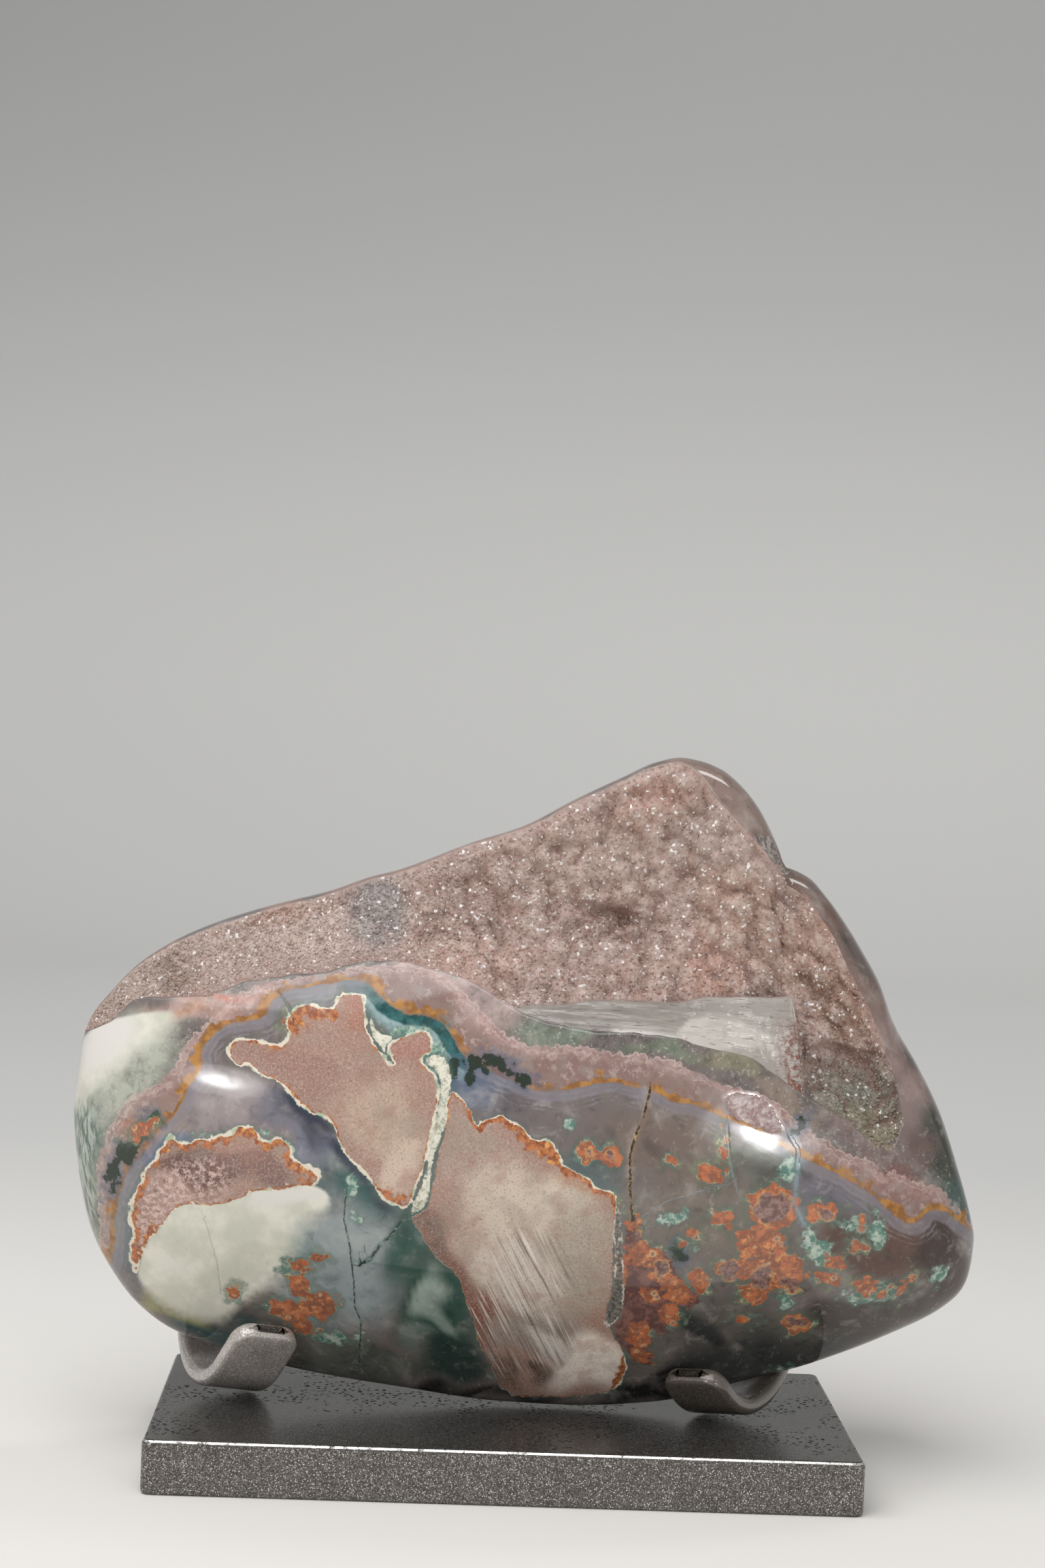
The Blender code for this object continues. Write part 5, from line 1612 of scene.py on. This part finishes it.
def make_cradle(name, paint):
    """One cradle: a flat bar bent up at both ends, its tips and edges rounded, tilted after the stone."""
    cradle = CRADLES[name]
    heading = cradle["side"] * np.radians(cradle["turn"])
    tilt = cradle["side"] * np.radians(cradle["lean"])
    ahead = np.array((-np.sin(heading), -np.cos(heading), 0.0))
    level = np.array((np.cos(heading), -np.sin(heading), 0.0))
    upright = np.array((0.0, 0.0, 1.0))
    across = level * np.cos(tilt) + upright * np.sin(tilt)
    up = upright * np.cos(tilt) - level * np.sin(tilt)
    rise = PLATE_THICK + GAP + BAR_WIDE / 2 * abs(np.sin(tilt)) + BAR_THICK / 2
    low_point = np.array((cradle["x"], cradle["y"], rise))
    points = []
    for forward, height, slope, inset in bar_path(cradle):
        middle = low_point + ahead * forward + up * height
        outer = ahead * np.sin(slope) - up * np.cos(slope)
        half_wide = BAR_WIDE / 2 - TIP_CORNER + np.sqrt(TIP_CORNER ** 2 - (TIP_CORNER - inset) ** 2)
        half_thick = BAR_THICK / 2 - BAR_EDGE + np.sqrt(BAR_EDGE ** 2 - max(BAR_EDGE - inset, 0) ** 2)
        for quarter, (wide, thick) in enumerate(((1, 1), (-1, 1), (-1, -1), (1, -1))):
            for angle in np.radians(90 * quarter + np.linspace(0, 90, EDGE_STEPS + 1)):
                sideways = wide * (half_wide - BAR_EDGE) + BAR_EDGE * np.cos(angle)
                outwards = thick * (half_thick - BAR_EDGE) + BAR_EDGE * np.sin(angle)
                points.append(middle + across * sideways + outer * outwards)
    around = 4 * (EDGE_STEPS + 1)
    faces = ring_faces(len(points) // around, around)
    faces.append(tuple(range(around)))
    faces.append(tuple(range(len(points) - around, len(points))))
    bar = make_mesh(name + "_bar", np.array(points), faces)
    shape = bmesh.new()
    shape.from_mesh(bar.data)
    bmesh.ops.recalc_face_normals(shape, faces=shape.faces)
    shape.to_mesh(bar.data)
    shape.free()
    bar.data.materials.append(paint)
    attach(bar, "root")
    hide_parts(name)


def make_floor():
    """A pale floor that sweeps up far behind, with painted light near the object and painted shade greying
    it farther off.
    """
    far, bend, top, half = 2.6, 0.8, 3.4, 6.0
    profile = [(-5.0, 0.0), (-1.0, 0.0), (0.0, 0.0), (1.0, 0.0), (far - bend, 0.0)]
    for angle in np.linspace(0, math.pi / 2, 13)[1:]:
        profile.append((far - bend + bend * math.sin(angle), bend - bend * math.cos(angle)))
    profile.append((far, top))
    points = [(x, y, z) for y, z in profile for x in (-half, half)]
    data = bpy.data.meshes.new("floor")
    data.from_pydata(points, [], [(2 * i, 2 * i + 1, 2 * i + 3, 2 * i + 2) for i in range(len(profile) - 1)])
    data.polygons.foreach_set("use_smooth", [True] * len(data.polygons))
    item = bpy.data.objects.new("floor", data)
    bpy.context.scene.collection.objects.link(item)
    p = Paint("pale_floor")
    away, height = p.parts(p.place, "XYZ")[1:]
    # Painted light pale near the object, and painted shade greying the floor farther back and up the sweep
    tone = p.blend(away, 0.10, 0.75, (236, 233, 228), (214, 213, 210))
    tone = p.blend(height, 0.25, 1.25, tone, (172, 172, 171))
    data.materials.append(p.finish(Base_Color=tone, Roughness=0.8))


def add_light(name, place, target, size, radiance):
    """A soft box at a place in metres, turned to the target, this bright."""
    data = bpy.data.lights.new(name, "AREA")
    data.shape = "ELLIPSE"
    data.size, data.size_y = size
    data.energy = radiance * math.pi * size[0] * size[1] * math.pi / 4
    item = bpy.data.objects.new(name, data)
    item.location = place
    item.rotation_euler = (Vector(target) - Vector(place)).to_track_quat("-Z", "Y").to_euler()
    bpy.context.scene.collection.objects.link(item)


def make_lights():
    """Two soft boxes beside the camera, each with fainter rings, one above, one for the wall, and a grey
    surround."""
    # Each soft box: the spot it points at, the way to it from there, and its width and height
    boxes = {
        "left_box": (Vector((-0.111, -0.033, 0.139)), Vector((-0.512, -0.828, 0.235)), 0.14, 0.075),
        "right_box": (Vector((0.081, -0.043, 0.129)), Vector((0.401, -0.907, 0.126)), 0.15, 0.07)}
    for ring, (grown, radiance) in enumerate(((1.0, 24), (1.7, 8), (3.2, 3.2))):
        for name, (spot, way, wide, high) in boxes.items():
            place = spot + way * (1.5 + 0.02 * ring)
            add_light(f"{name}_{ring}", place, spot, (wide * grown, high * grown), radiance)
    add_light("top_box", (-0.5, -0.7, 1.7), (0, 0, 0.12), (2.4, 1.6), 2.5)
    add_light("wall_box", (0.9, 1.0, 2.3), (0.3, 2.6, 0.9), (1.2, 0.8), 5.5)
    world = bpy.data.worlds.new("studio")
    world.use_nodes = True
    sky = world.node_tree.nodes["Background"]
    sky.inputs["Color"].default_value = (0.92, 0.93, 0.95, 1)
    sky.inputs["Strength"].default_value = 0.50
    bpy.context.scene.world = world


def make_camera():
    """The picture's own view."""
    right, up, forward = camera_axes()
    data = bpy.data.cameras.new("camera")
    data.lens = LENS
    data.sensor_width = SENSOR
    camera = bpy.data.objects.new("camera", data)
    matrix = Matrix.Identity(4)
    for row in range(3):
        matrix[row][0], matrix[row][1], matrix[row][2] = right[row], up[row], -forward[row]
        matrix[row][3] = (CAMERA_PLACE[row] - ORIGIN[row]) * MM
    camera.matrix_world = matrix
    bpy.context.scene.collection.objects.link(camera)
    bpy.context.scene.camera = camera


make_camera()
make_floor()
make_lights()
bpy.context.scene.view_settings.view_transform = "Standard"

body = make_body()
sheet, crystals = make_druse()
blade = make_blade()
for piece, slot in ((body, "agate"), (sheet, "druse"), (crystals, "druse"), (blade, "calcite")):
    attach(piece, "root")
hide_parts("stone")

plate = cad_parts["base_plate"]
plate.data.materials.clear()
plate.data.materials.append(steel_material("plate_coat", flat=True, **PLATE_COAT))
for side, coat in (("left", LEFT_LIT_COAT), ("right", RIGHT_SHADED_COAT)):
    make_cradle("cradle_" + side, steel_material(side + "_cradle_coat", **coat))
